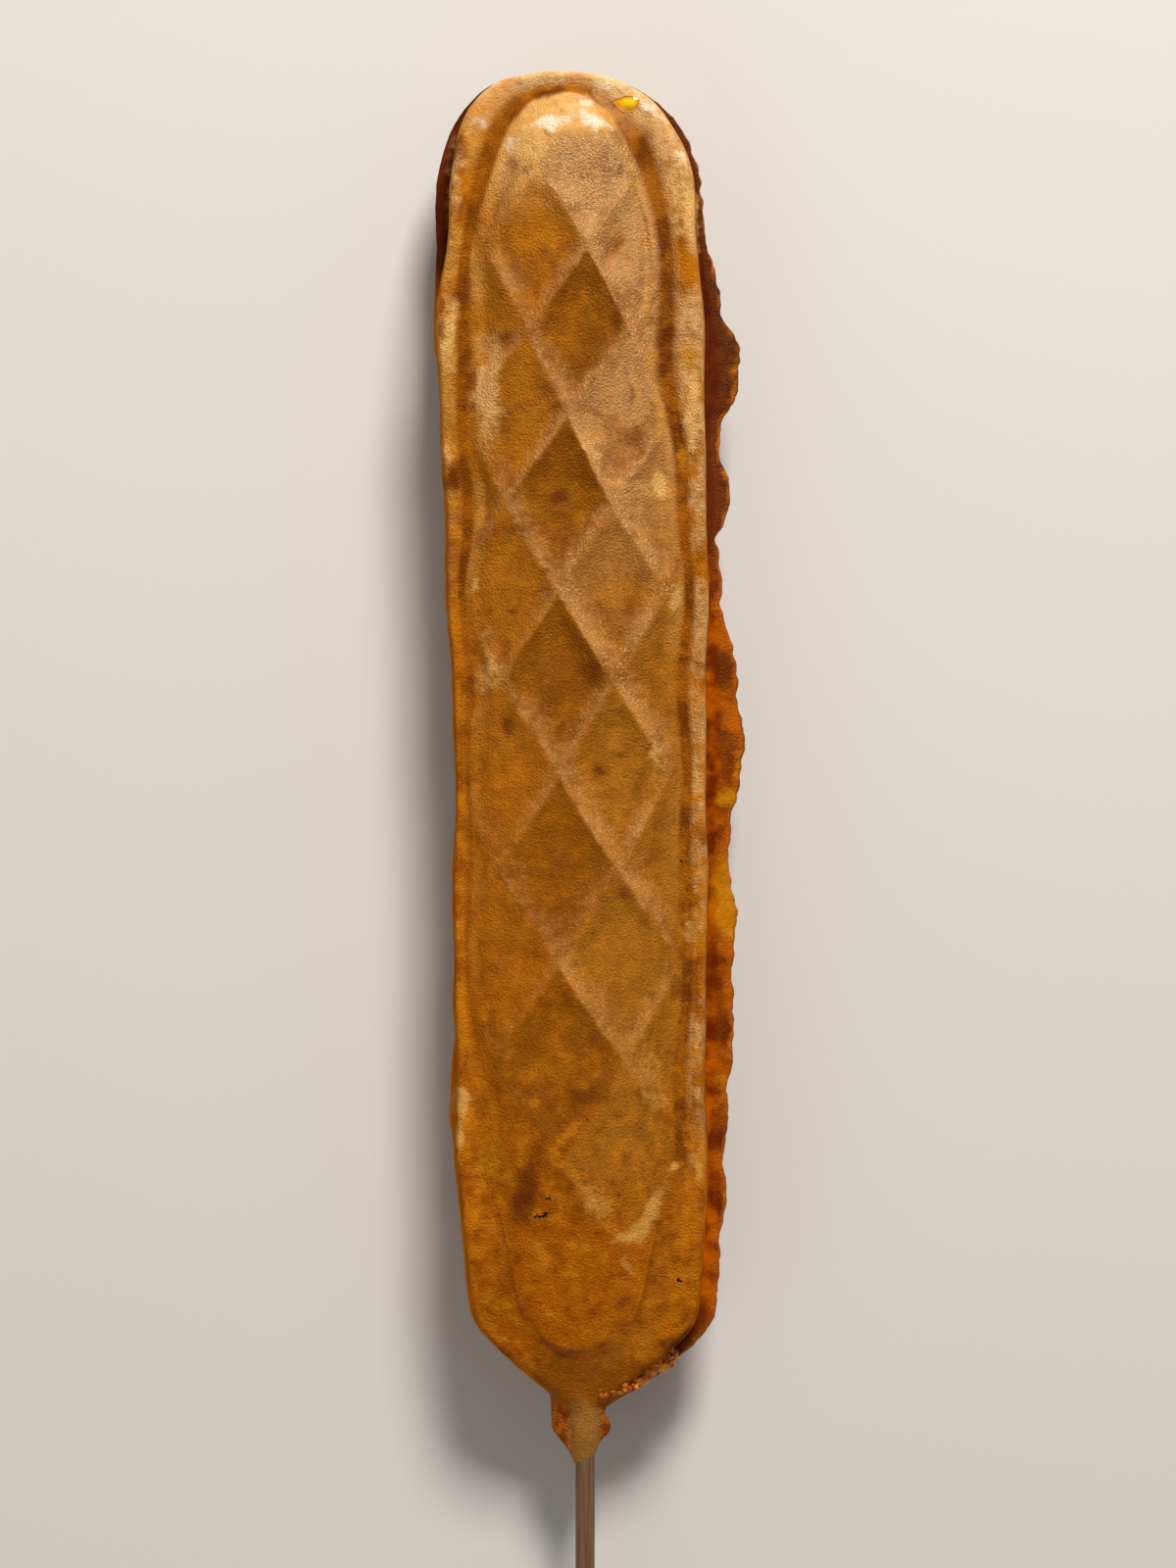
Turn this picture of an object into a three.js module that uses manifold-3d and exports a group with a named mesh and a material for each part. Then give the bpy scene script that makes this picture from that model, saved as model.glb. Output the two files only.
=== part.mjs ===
// Waffle dog: a long waffle baked round a bamboo stick in a two-plate iron.
//
// It lies on its back with the patterned face up: +Y points to the rounded tip, -Y along the
// stick, +X to the side with the wide baked-out edge. Millimetres. The shapes are worked out in
// the iron's own frame: X across from the stick's axis, Y up from the stick end of the waffle,
// Z from the parting plane, where the two plates meet. The last section sets the whole down on
// the ground, centred on its bounding box.

import * as THREE from 'three';
import { mergeVertices } from 'three/addons/utils/BufferGeometryUtils.js';
import Module from 'manifold-3d';

const { clamp, lerp, smoothstep } = THREE.MathUtils;

const wasm = await Module();
wasm.setup();

// ---------------------------------------------------------------- driving dimensions

// Waffle: heights are from the parting plane to one face, and both faces are alike.
const WAFFLE_LENGTH = 198.2;
const CREST_HEIGHT = 14.4; // ridge crests on the centre line at mid length
const CROWN = 3.0; // how far the raised band falls from its centre to its edge
const BEVEL = 1.6; // and how far more along the edge itself
const RIM_HEIGHT = 10.0;
const GROOVE_HEIGHT = 9.2;
const TIP_DROP = 3.0; // how much thinner one face gets at the tip
const FOOT_DROP = 5.5; // and at the stick end
const SPOUT_DROP = 3.0; // and more where it runs out along the stick
const FADED_BAND = 0.75; // how far the band still rises over the rim at the stick end
const REST_SHAVE = 0.4; // how far the lowest crests are pressed flat

// Side edges, as distances from the stick's axis. Each swells towards the tip between two
// heights and tapers towards the stick end.
const LEFT_SIDE = { reach: 19.5, swell: 2.7, swells: [90, 165], taper: 2.2, tapers: [8, 42] };
const RIGHT_SIDE = { reach: 18.3, swell: -1.1, swells: [140, 182], taper: 0.8, tapers: [8, 30] };
const LEFT_BAND = { reach: 16.8, swell: -0.4, swells: [150, 180], taper: 6.0, tapers: [5, 70] };
const RIGHT_BAND = { reach: 14.1, swell: -3.1, swells: [132, 176], taper: 5.2, tapers: [0, 70] };

// Rounded ends of the waffle and of the raised band on it: where each starts, its far point, its
// superellipse exponent and how softly it starts. The stick end is nearly a wedge.
const WAFFLE_OUTLINE = {
  left: LEFT_SIDE,
  right: RIGHT_SIDE,
  tip: { start: 177.5, apex: WAFFLE_LENGTH, roundness: 2.4, corner: 0 },
  foot: { start: 10, apex: -3.6, roundness: 1.12, corner: 0.16 },
  scallop: 0,
  lean: -0.6, // the tip leans to the left in two steps
};
const BAND_OUTLINE = {
  left: LEFT_BAND,
  right: RIGHT_BAND,
  tip: { start: 172, apex: 194.6, roundness: 2.1, corner: 0 },
  foot: { start: 25, apex: 5.5, roundness: 2.3, corner: 0 },
  scallop: 0.5, // the side diamonds push the band's edge out and in
  lean: 0,
};
const WOBBLE = 0.18; // unevenness of all the edges

// Diamond lattice of ridges: rows are counted from the crossing nearest the tip.
const FIRST_CROSSING = 171.8;
const ROW_PITCH = 24.7;
const ROW_GROWTH = 0.515; // the rows get longer towards the stick
const LATTICE_AXIS = { start: -0.6, lean: -1.45, bend: 0.22 };
const LATTICE_HALF_WIDTH = 7.7;
const LATTICE_SPREAD = 0.1; // and the diamonds wider
const POCKET_DEPTH = 1.8;
const RIDGE_SHARPNESS = 5; // per half diamond: how soon a ridge falls into its pocket
const FADED_RELIEF = 0.35; // share of the relief left at the stick end
const FADE_FROM = 18;
const FADE_TO = 62;

// Groove and rim round the band, as shares of the way from the band's edge to the outline.
const RIM_SHARES = {
  left: { wallFoot: 0.2, grooveEnd: 0.32, rimStart: 0.5, rimEnd: 0.86, shoulder: 0.96 },
  right: { wallFoot: 0.28, grooveEnd: 0.44, rimStart: 0.6, rimEnd: 0.87, shoulder: 0.96 },
};
const SHOULDER_SHARE = 0.6; // height of the outer wall's shoulder, of the rim's
const FADED_GROOVE = 0.15; // share of the groove's depth left at the stick end

// Flash: the thin crust squeezed out between the plates.
const FLASH_ROOT = 0.8; // half its thickness at the waffle
const FLASH_LIP = 0.35; // and at its edge
const THIN_FLASH = 0.5;
const RIGHT_FLASH = 1.5; // what the right side has more of it
const FOOT_FLASH = 2.2; // and the right of the stick end
const FLASH_STARTS = [181, 168];
const FLASH_ENDS = 0.7; // what it loses again on the slant of the stick end
const FLASH_LOBES = [
  { at: 162, reach: 0.8, span: 4.5 },
  { at: 153.3, reach: 3.4, span: 6.5 },
  { at: 134, reach: 1.7, span: 4.5 },
  { at: 113, reach: 0.7, span: 3.5 },
  { at: 96.5, reach: 3.3, span: 14.5 },
  { at: 62, reach: 2.1, span: 20 },
];
const TIP_INSIDE = { left: 1.6, right: 0.6 }; // how far inside the outline it starts at the tip
const FLASH_RAGGEDNESS = 0.08;

// Collar: the batter that ran down the stick, widest at a lobe on its right.
const COLLAR_PROFILE = [[4.8, 14], [4.4, 0], [3.8, -2.2], [4.0, -5.4], [2.9, -7.9], [2.3, -10.2]];
const COLLAR_OFFSET = -1.1; // the dribble hangs to the left where it leaves the waffle
const COLLAR_FLATNESS = 0.65; // and is thinner than it is wide
const COLLAR_SIDES = 20;

// Stick: round bamboo, pushed into the waffle.
const STICK_RADIUS = 1.55;
const STICK_EXPOSED = 92; // below the waffle, with the part that the collar covers
const STICK_INSIDE = 30;
const STICK_CHAMFER = 0.4;
const STICK_SIDES = 20;
const FIT_GAP = 0.3;

// Mesh: lattice cells are a quarter of a half diamond each way, so ridges follow cell diagonals.
const CELLS_PER_HALF_DIAMOND = 4;
const ROW_BEFORE_CROSSING = 4; // rows of cells on the tip's side of the first crossing
const ROWS = 51;
const BAND_RING = 8; // rings from the lattice's axis to the band's edge
const TIP_RAYS = 18;
const FOOT_RAYS = 14;
const CELL_SQUEEZE = 0.05; // least width of a cell at the band's edge, in half diamonds

// ---------------------------------------------------------------- outline of the waffle

function wobbleAt(y) {
  return WOBBLE * (Math.sin(y / 7.1 + 0.8) + 0.6 * Math.sin(y / 3.3));
}

function sideReach(side, y) {
  return side.reach + side.swell * smoothstep(y, ...side.swells)
    - side.taper * (1 - smoothstep(y, ...side.tapers));
}

// Width left by a rounded end at a height, as a share of the full width.
function endShare(end, y) {
  const straight = (y - end.start) / (end.apex - end.start);
  const softened = (way) => way + Math.hypot(way, end.corner);
  const way = clamp(softened(straight) / softened(1), 0, 1);
  return (1 - way ** end.roundness) ** (1 / end.roundness);
}

function edgeX(outline, y, side) {
  const scallop = outline.scallop * Math.cos(2 * Math.PI * rowAt(y));
  const left = -sideReach(outline.left, y) - scallop + wobbleAt(y);
  const right = sideReach(outline.right, y) + scallop + wobbleAt(y + WAFFLE_LENGTH);
  const share = endShare(outline.tip, y) * endShare(outline.foot, y);
  const lean = outline.lean * (smoothstep(y, 184, 194) + smoothstep(y, 193.5, 197));
  return (left + right) / 2 + lean + side * share * (right - left) / 2;
}

// A point on a rounded end: turn runs from 0 at the right over the end to 1 at the left.
function endPoint(outline, endName, fromY, turn) {
  const end = outline[endName];
  const way = (fromY - end.start) / (end.apex - end.start);
  const from = Math.asin(way ** (end.roundness / 2));
  const angle = lerp(from, Math.PI - from, turn);
  const y = lerp(end.start, end.apex, Math.sin(angle) ** (2 / end.roundness));
  return new THREE.Vector2(edgeX(outline, y, turn < 0.5 ? 1 : -1), y);
}

// ---------------------------------------------------------------- lattice of ridges

// Whole rows of diamonds between the first crossing and a height, and the reverse.
function rowAt(y) {
  const under = ROW_PITCH ** 2 + 4 * ROW_GROWTH * (FIRST_CROSSING - y);
  return (Math.sqrt(under) - ROW_PITCH) / (2 * ROW_GROWTH);
}

function heightOfRow(row) {
  return FIRST_CROSSING - ROW_PITCH * row - ROW_GROWTH * row ** 2;
}

function axisX(row) {
  return LATTICE_AXIS.start + LATTICE_AXIS.lean * row + LATTICE_AXIS.bend * row ** 2;
}

function halfDiamond(row) {
  return LATTICE_HALF_WIDTH + LATTICE_SPREAD * row ** 2;
}

// How far a lattice coordinate is from the nearest ridge: 0 on it, 1 midway between two.
function fromRidge(coordinate) {
  return Math.abs(coordinate - 2 * Math.round(coordinate / 2));
}

function pocketAt(x, y) {
  const row = rowAt(y);
  const across = (x - axisX(row)) / halfDiamond(row);
  const depth = Math.min(fromRidge(across + 2 * row), fromRidge(across - 2 * row));
  const fill = (1 - Math.exp(-RIDGE_SHARPNESS * depth)) / (1 - Math.exp(-RIDGE_SHARPNESS));
  return POCKET_DEPTH * lerp(FADED_RELIEF, 1, smoothstep(y, FADE_FROM, FADE_TO)) * fill;
}

// ---------------------------------------------------------------- heights of one face

// How much lower everything lies towards the ends.
function endDrop(y) {
  return TIP_DROP * smoothstep(y, 165, WAFFLE_LENGTH) ** 1.5
    + FOOT_DROP * (1 - smoothstep(y, -3, 40)) ** 2
    + SPOUT_DROP * (1 - smoothstep(y, -5, 8));
}

// The band is crowned and bevelled, and sinks to the rim's height at the stick end. The share is
// how much of the way to the band's edge a point has behind it.
function bandHeight(x, y, share) {
  const inner = clamp(y, BAND_OUTLINE.foot.start, BAND_OUTLINE.tip.start);
  const left = edgeX(BAND_OUTLINE, inner, -1);
  const right = edgeX(BAND_OUTLINE, inner, 1);
  const across = (2 * x - left - right) / (right - left);
  const pocket = pocketAt(x, y);
  const bevel = BEVEL * smoothstep(share, 0.72, 1.06);
  const crowned = CREST_HEIGHT - CROWN * across ** 2 - bevel - endDrop(y) - pocket;
  const faded = rimHeight(y) + FADED_BAND * (1 - 0.8 * share ** 3) - pocket / 2;
  return lerp(crowned, faded, 0.9 * (1 - smoothstep(y, 4, 52)));
}

function grooveHeight(y) {
  const depth = lerp(FADED_GROOVE, 1, smoothstep(y, 8, FADE_TO));
  return lerp(RIM_HEIGHT, GROOVE_HEIGHT, depth) - endDrop(y);
}

function rimHeight(y) {
  return RIM_HEIGHT - endDrop(y);
}

function flashReach(y, rightShare) {
  const lobes = FLASH_LOBES.reduce(
    (sum, lobe) => sum + lobe.reach * Math.exp(-(((y - lobe.at) / lobe.span) ** 4)), 0);
  const started = smoothstep(-y, -FLASH_STARTS[0], -FLASH_STARTS[1]);
  const ended = FLASH_ENDS * (1 - smoothstep(y, 2, 11));
  const right = lerp(FOOT_FLASH, RIGHT_FLASH, smoothstep(y, 28, 50)) * started + lobes - ended;
  const ragged = 1 + FLASH_RAGGEDNESS * (Math.sin(1.3 * y) + Math.sin(2.1 * y + 1));
  return THIN_FLASH + rightShare * ragged * right;
}

// How far inside the outline the body ends: it is narrower than its flash beside the tip.
function flashInside(y, rightShare) {
  const besideTip = smoothstep(y, 160, 176) * (1 - smoothstep(y, 192, 198));
  return besideTip * lerp(TIP_INSIDE.left, TIP_INSIDE.right, rightShare);
}

// ---------------------------------------------------------------- mesh of the waffle

// The run of stations round the waffle: down the right side, round the stick end, up the left
// side and round the tip. Each carries the row of cells that it starts from.
function makeStations() {
  const stations = [];
  for (let row = 0; row <= ROWS; row++) {
    stations.push({ row, side: 1 });
  }
  for (let ray = 1; ray < FOOT_RAYS; ray++) {
    stations.push({ row: ROWS, end: 'foot', turn: ray / FOOT_RAYS });
  }
  for (let row = ROWS; row >= 0; row--) {
    stations.push({ row, side: -1 });
  }
  for (let ray = TIP_RAYS - 1; ray > 0; ray--) {
    stations.push({ row: 0, end: 'tip', turn: ray / TIP_RAYS });
  }
  return stations;
}

function diamondRow(cellRow) {
  return (cellRow - ROW_BEFORE_CROSSING) / (2 * CELLS_PER_HALF_DIAMOND);
}

// Where the rings cross a row of cells on one side, as shares of the way to the band's edge.
function ringShares(cellRow, side) {
  const row = diamondRow(cellRow);
  const edge = Math.abs(edgeX(BAND_OUTLINE, heightOfRow(row), side) - axisX(row)) / halfDiamond(row);
  const shares = [];
  for (let ring = 0; ring <= BAND_RING; ring++) {
    const cell = ring / CELLS_PER_HALF_DIAMOND;
    const last = edge - (BAND_RING - ring) * CELL_SQUEEZE;
    shares.push((ring === BAND_RING ? edge : Math.min(cell, last)) / edge);
  }
  return shares;
}

// All ring points of one station on the upper face, from the lattice's axis to the flash's lip.
function stationPoints(station) {
  const row = diamondRow(station.row);
  const rowY = heightOfRow(row);
  const hub = new THREE.Vector2(axisX(row), rowY);
  const rightShare = station.end ? (1 + Math.cos(Math.PI * station.turn)) / 2 : (1 + station.side) / 2;
  const bandEdge = station.end
    ? endPoint(BAND_OUTLINE, station.end, rowY, station.turn)
    : new THREE.Vector2(edgeX(BAND_OUTLINE, rowY, station.side), rowY);
  const edge = station.end
    ? endPoint(WAFFLE_OUTLINE, station.end, rowY, station.turn)
    : new THREE.Vector2(edgeX(WAFFLE_OUTLINE, rowY, station.side), rowY);
  const outward = station.end ? edge.clone().sub(hub).normalize() : new THREE.Vector2(station.side, 0);
  const outer = edge.clone().addScaledVector(outward, -flashInside(edge.y, rightShare));

  const leftShares = ringShares(station.row, -1);
  const points = ringShares(station.row, 1).map((share, ring) => {
    const ringShare = lerp(leftShares[ring], share, rightShare);
    const at = hub.clone().lerp(bandEdge, ringShare);
    return new THREE.Vector3(at.x, at.y, bandHeight(at.x, at.y, ringShare));
  });

  const addPoint = (name, height) => {
    const share = name ? lerp(RIM_SHARES.left[name], RIM_SHARES.right[name], rightShare) : 1;
    const at = bandEdge.clone().lerp(outer, share);
    points.push(new THREE.Vector3(at.x, at.y, height(at.y)));
  };
  addPoint('wallFoot', grooveHeight);
  addPoint('grooveEnd', grooveHeight);
  addPoint('rimStart', rimHeight);
  addPoint('rimEnd', rimHeight);
  addPoint('shoulder', (y) => SHOULDER_SHARE * rimHeight(y));
  addPoint('', () => FLASH_ROOT);

  const lip = edge.clone().addScaledVector(outward, flashReach(edge.y, rightShare));
  points.push(new THREE.Vector3(lip.x, lip.y, FLASH_LIP));
  return points;
}

// Whether a cell's ridge, or the nearest one, runs away from the axis towards the stick end.
function ridgeFallsOutward(ring, cellRow) {
  const offset = cellRow - ROW_BEFORE_CROSSING;
  const falling = fromRidge((ring - offset) / CELLS_PER_HALF_DIAMOND);
  const rising = fromRidge((ring + 1 + offset) / CELLS_PER_HALF_DIAMOND);
  return falling < rising;
}

function closedGeometry(triangles) {
  const geometry = new THREE.BufferGeometry().setFromPoints(triangles.flat());
  return mergeVertices(geometry);
}

function waffleShell() {
  const stations = makeStations();
  const upper = stations.map(stationPoints);
  const mirrored = (point) => new THREE.Vector3(point.x, point.y, -point.z);
  const triangles = [];
  const addBothFaces = (a, b, c) => {
    triangles.push([a, b, c], [mirrored(a), mirrored(c), mirrored(b)]);
  };

  stations.forEach((station, index) => {
    const next = (index + 1) % stations.length;
    const here = upper[index];
    const there = upper[next];
    const cellRow = Math.min(station.row, stations[next].row);
    for (let ring = 0; ring + 1 < here.length; ring++) {
      const [a, b, c, d] = [here[ring], here[ring + 1], there[ring + 1], there[ring]];
      if (a.equals(d)) {
        addBothFaces(a, c, b);
      } else if (ridgeFallsOutward(ring, cellRow) === (station.side === 1)) {
        addBothFaces(a, d, c);
        addBothFaces(a, c, b);
      } else {
        addBothFaces(a, d, b);
        addBothFaces(b, d, c);
      }
    }
    const [lip, nextLip] = [here.at(-1), there.at(-1)];
    triangles.push([lip, nextLip, mirrored(nextLip)], [lip, mirrored(nextLip), mirrored(lip)]);
  });
  return closedGeometry(triangles);
}

// ---------------------------------------------------------------- collar, socket and stick

// A round closed solid about the stick's axis, from radii at heights, with flat ends.
function turned(profile, sides) {
  const [first, last] = [profile[0], profile.at(-1)];
  const outline = [[0, last[1]], ...profile.toReversed(), [0, first[1]]];
  const geometry = new THREE.LatheGeometry(outline.map(([r, y]) => new THREE.Vector2(r, y)), sides);
  geometry.deleteAttribute('uv');
  geometry.deleteAttribute('normal');
  return mergeVertices(geometry);
}

function collarGeometry() {
  const geometry = turned(COLLAR_PROFILE, COLLAR_SIDES);
  const position = geometry.attributes.position;
  const lowest = COLLAR_PROFILE.at(-1)[1];
  for (let i = 0; i < position.count; i++) {
    const hang = smoothstep(position.getY(i), lowest, 0);
    position.setX(i, position.getX(i) + COLLAR_OFFSET * hang);
    position.setZ(i, position.getZ(i) * lerp(1, COLLAR_FLATNESS, hang));
  }
  return geometry;
}

function stickProfile(clearance, deepest) {
  const radius = STICK_RADIUS + clearance;
  return [
    [radius - STICK_CHAMFER, deepest],
    [radius, deepest - STICK_CHAMFER],
    [radius, STICK_CHAMFER - STICK_EXPOSED],
    [radius - STICK_CHAMFER, -STICK_EXPOSED],
  ];
}

// ---------------------------------------------------------------- solids

function toManifold(geometry) {
  return new wasm.Manifold(new wasm.Mesh({
    numProp: 3,
    vertProperties: new Float32Array(geometry.attributes.position.array),
    triVerts: new Uint32Array(geometry.index.array),
  }));
}

function toGeometry(manifold) {
  const mesh = manifold.getMesh();
  const geometry = new THREE.BufferGeometry();
  geometry.setAttribute('position', new THREE.BufferAttribute(mesh.vertProperties, 3));
  geometry.setIndex(new THREE.BufferAttribute(mesh.triVerts, 1));
  return geometry;
}

// Everything below the flats that the waffle rests on.
function groundBlock() {
  const size = 3 * WAFFLE_LENGTH;
  const block = new THREE.BoxGeometry(size, size, size);
  block.deleteAttribute('uv');
  block.deleteAttribute('normal');
  block.translate(0, 0, REST_SHAVE - CREST_HEIGHT - size / 2);
  return mergeVertices(block);
}

function makeWaffle() {
  const solid = toManifold(waffleShell())
    .add(toManifold(collarGeometry()))
    .subtract(toManifold(turned(stickProfile(FIT_GAP, STICK_INSIDE + FIT_GAP), STICK_SIDES)))
    .subtract(toManifold(groundBlock()));
  const crust = new THREE.MeshStandardMaterial({ color: 0xb8772c, roughness: 0.62, metalness: 0 });
  const mesh = new THREE.Mesh(toGeometry(solid), crust);
  mesh.name = 'waffle';
  return mesh;
}

function makeStick() {
  const bamboo = new THREE.MeshStandardMaterial({ color: 0xc9a877, roughness: 0.7, metalness: 0 });
  const mesh = new THREE.Mesh(turned(stickProfile(0, STICK_INSIDE), STICK_SIDES), bamboo);
  mesh.name = 'stick';
  return mesh;
}

// ---------------------------------------------------------------- the waffle dog

const waffleDog = new THREE.Group();
waffleDog.add(makeWaffle(), makeStick());

const bounds = new THREE.Box3().setFromObject(waffleDog);
const middle = bounds.getCenter(new THREE.Vector3());
waffleDog.position.set(-middle.x, -middle.y, -bounds.min.z);

export default waffleDog;
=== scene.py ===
import math
from types import SimpleNamespace

import bpy
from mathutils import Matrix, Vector


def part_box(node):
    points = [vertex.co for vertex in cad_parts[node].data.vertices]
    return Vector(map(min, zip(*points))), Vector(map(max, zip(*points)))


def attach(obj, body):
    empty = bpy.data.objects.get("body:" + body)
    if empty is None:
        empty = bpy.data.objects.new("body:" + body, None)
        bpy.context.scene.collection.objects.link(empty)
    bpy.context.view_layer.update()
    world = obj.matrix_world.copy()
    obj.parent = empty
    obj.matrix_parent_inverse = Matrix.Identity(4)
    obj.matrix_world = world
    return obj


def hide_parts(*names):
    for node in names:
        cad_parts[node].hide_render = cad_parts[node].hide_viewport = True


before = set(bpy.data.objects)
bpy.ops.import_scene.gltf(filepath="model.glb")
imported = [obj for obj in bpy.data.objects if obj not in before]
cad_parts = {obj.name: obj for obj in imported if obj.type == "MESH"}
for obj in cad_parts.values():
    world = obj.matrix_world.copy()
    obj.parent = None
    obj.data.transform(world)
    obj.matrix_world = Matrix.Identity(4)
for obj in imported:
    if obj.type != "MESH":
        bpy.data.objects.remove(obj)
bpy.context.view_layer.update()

# ---------------------------------------------------------------- the stick
# A round bamboo skewer, planed along its fibres and cut off square at the grip. The sausage and
# the batter are put round its other end, which stays hidden in the waffle.

MM = 0.001
stick_low, stick_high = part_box("stick")
stick_middle = (stick_low + stick_high) / 2
STICK_RADIUS = (stick_high.x - stick_low.x) / 2 / MM
STICK_LENGTH = (stick_high.y - stick_low.y) / MM
STICK_STEPS = 240
STICK_SIDES = 48
STICK_END_STEPS = 4
PLANING_STRETCH = 0.004  # how slowly the marks of planing change along the stick
BOW_TURN = 0.021  # radians of the bend's slow wave to the millimetre
WELD = 0.001  # points nearer to each other than this, in millimetres, are one


class Wire:
    """An output socket in a node tree. Arithmetic on it adds Math nodes to the tree."""

    def __init__(self, tree, socket):
        self.tree = tree
        self.socket = socket

    @staticmethod
    def add(tree, kind, settings=(), values=(), output=0):
        """Adds a node: its settings are set first, then the values or links of its sockets."""
        node = tree.nodes.new(kind)
        for name, setting in dict(settings).items():
            setattr(node, name, setting)
        for name, value in dict(values).items():
            if isinstance(value, Wire):
                tree.links.new(value.socket, node.inputs[name])
            else:
                node.inputs[name].default_value = value
        return Wire(tree, node.outputs[output]) if node.outputs else None

    def math(self, operation, *others):
        values = dict(enumerate((self,) + others))
        return Wire.add(self.tree, "ShaderNodeMath", {"operation": operation}, values)

    def __add__(self, other):
        return self.math("ADD", other)

    def __radd__(self, other):
        return self.math("ADD", other)

    def __sub__(self, other):
        return self.math("SUBTRACT", other)

    def __rsub__(self, other):
        return (self * -1.0).math("ADD", other)

    def __mul__(self, other):
        return self.math("MULTIPLY", other)

    def __rmul__(self, other):
        return self.math("MULTIPLY", other)

    def __truediv__(self, other):
        return self.math("DIVIDE", other)

    def __pow__(self, other):
        return self.math("POWER", other)

    def __neg__(self):
        return self * -1.0

    def clamp(self, low=0.0, high=1.0):
        return Wire.add(self.tree, "ShaderNodeClamp", {}, {"Value": self, "Min": low, "Max": high})

    def smooth(self, low, high):
        """0 at low, 1 at high, and an S-curve between them."""
        settings = {"interpolation_type": "SMOOTHSTEP"}
        values = {"Value": self, "From Min": low, "From Max": high}
        return Wire.add(self.tree, "ShaderNodeMapRange", settings, values)

    def part(self, axis):
        return Wire.add(self.tree, "ShaderNodeSeparateXYZ", {}, {0: self}, axis)

    def vector_math(self, operation, *others):
        values = dict(enumerate((self,) + others))
        return Wire.add(self.tree, "ShaderNodeVectorMath", {"operation": operation}, values)

    def dot(self, other):
        settings = {"operation": "DOT_PRODUCT"}
        values = {0: self, 1: other}
        return Wire.add(self.tree, "ShaderNodeVectorMath", settings, values, "Value")

    def scaled(self, factor):
        settings = {"operation": "SCALE"}
        return Wire.add(self.tree, "ShaderNodeVectorMath", settings, {0: self, "Scale": factor})


def between(low, high, share):
    return low + (high - low) * share


def vector(tree, x, y, z):
    return Wire.add(tree, "ShaderNodeCombineXYZ", {}, {0: x, 1: y, 2: z})


def noise(place, scale, detail=2.0, seed=0.0, output=0):
    """Fractal noise between 0 and 1 at a place, in as many cells a unit as scale says."""
    moved = place.vector_math("ADD", (seed, seed, seed))
    values = {"Vector": moved, "Scale": scale, "Detail": detail, "Roughness": 0.55}
    return Wire.add(place.tree, "ShaderNodeTexNoise", {"noise_dimensions": "3D"}, values, output)


def drift(place, scale, detail, seed):
    """A wandering offset round zero in each axis, from noise in as many cells a unit."""
    return noise(place, scale, detail, seed, "Color").vector_math("SUBTRACT", (0.5, 0.5, 0.5))


def shape_tree(name, sizes):
    """A geometry tree with one named input for each size, and those inputs as wires."""
    tree = bpy.data.node_groups.new(name, "GeometryNodeTree")
    tree.interface.new_socket("Geometry", in_out="OUTPUT", socket_type="NodeSocketGeometry")
    for label in sizes:
        kind = "NodeSocketMaterial" if label == "Material" else "NodeSocketFloat"
        tree.interface.new_socket(label, in_out="INPUT", socket_type=kind)
    entry = tree.nodes.new("NodeGroupInput")
    return tree, {label: Wire(tree, entry.outputs[label]) for label in sizes}


def end_tree(geometry, material):
    """Closes a geometry tree: shaded smooth, instances made real, material set."""
    tree = geometry.tree
    smooth = Wire.add(tree, "GeometryNodeSetShadeSmooth", {}, {"Geometry": geometry})
    real = Wire.add(tree, "GeometryNodeRealizeInstances", {}, {"Geometry": smooth})
    values = {"Geometry": real, "Material": material}
    painted = Wire.add(tree, "GeometryNodeSetMaterial", {}, values)
    tree.links.new(painted.socket, tree.nodes.new("NodeGroupOutput").inputs["Geometry"])


def grow(name, tree, sizes):
    """Runs a geometry tree and keeps its result as a plain mesh object at the origin."""
    piece = bpy.data.objects.new(name, bpy.data.meshes.new(name))
    bpy.context.scene.collection.objects.link(piece)
    shape = piece.modifiers.new("shape", "NODES")
    shape.node_group = tree
    for item in tree.interface.items_tree:
        if item.in_out == "INPUT":
            shape[item.identifier] = sizes[item.name]
    depsgraph = bpy.context.evaluated_depsgraph_get()
    mesh = bpy.data.meshes.new_from_object(
        piece.evaluated_get(depsgraph), preserve_all_data_layers=True, depsgraph=depsgraph)
    piece.modifiers.clear()
    piece.data = mesh
    return piece


def material_tree(name):
    material = bpy.data.materials.new(name)
    material.use_nodes = True
    material.node_tree.nodes.clear()
    return material, material.node_tree


def paint(tree, sockets):
    """The surface shader at the end of a material, with its sockets' values or links."""
    surface = Wire.add(tree, "ShaderNodeBsdfPrincipled", {}, sockets)
    Wire.add(tree, "ShaderNodeOutputMaterial", {}, {"Surface": surface})


def rgb(red, green, blue):
    """A colour as the eye's 0 to 255 levels, in the linear values that shaders take."""
    def linear(level):
        level /= 255.0
        return level / 12.92 if level <= 0.04045 else ((level + 0.055) / 1.055) ** 2.4
    return (linear(red), linear(green), linear(blue), 1.0)


def mix_colour(share, first, second):
    """The first colour where share is 0 and the second where it is 1."""
    settings = {"data_type": "RGBA"}
    return Wire.add(share.tree, "ShaderNodeMix", settings, {0: share, 6: first, 7: second}, 2)


def bump(height, strength, depth):
    """The surface's direction where a height between 0 and 1 raises it by up to depth metres."""
    values = {"Strength": strength, "Distance": depth, "Height": height}
    return Wire.add(height.tree, "ShaderNodeBump", {}, values)


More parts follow.
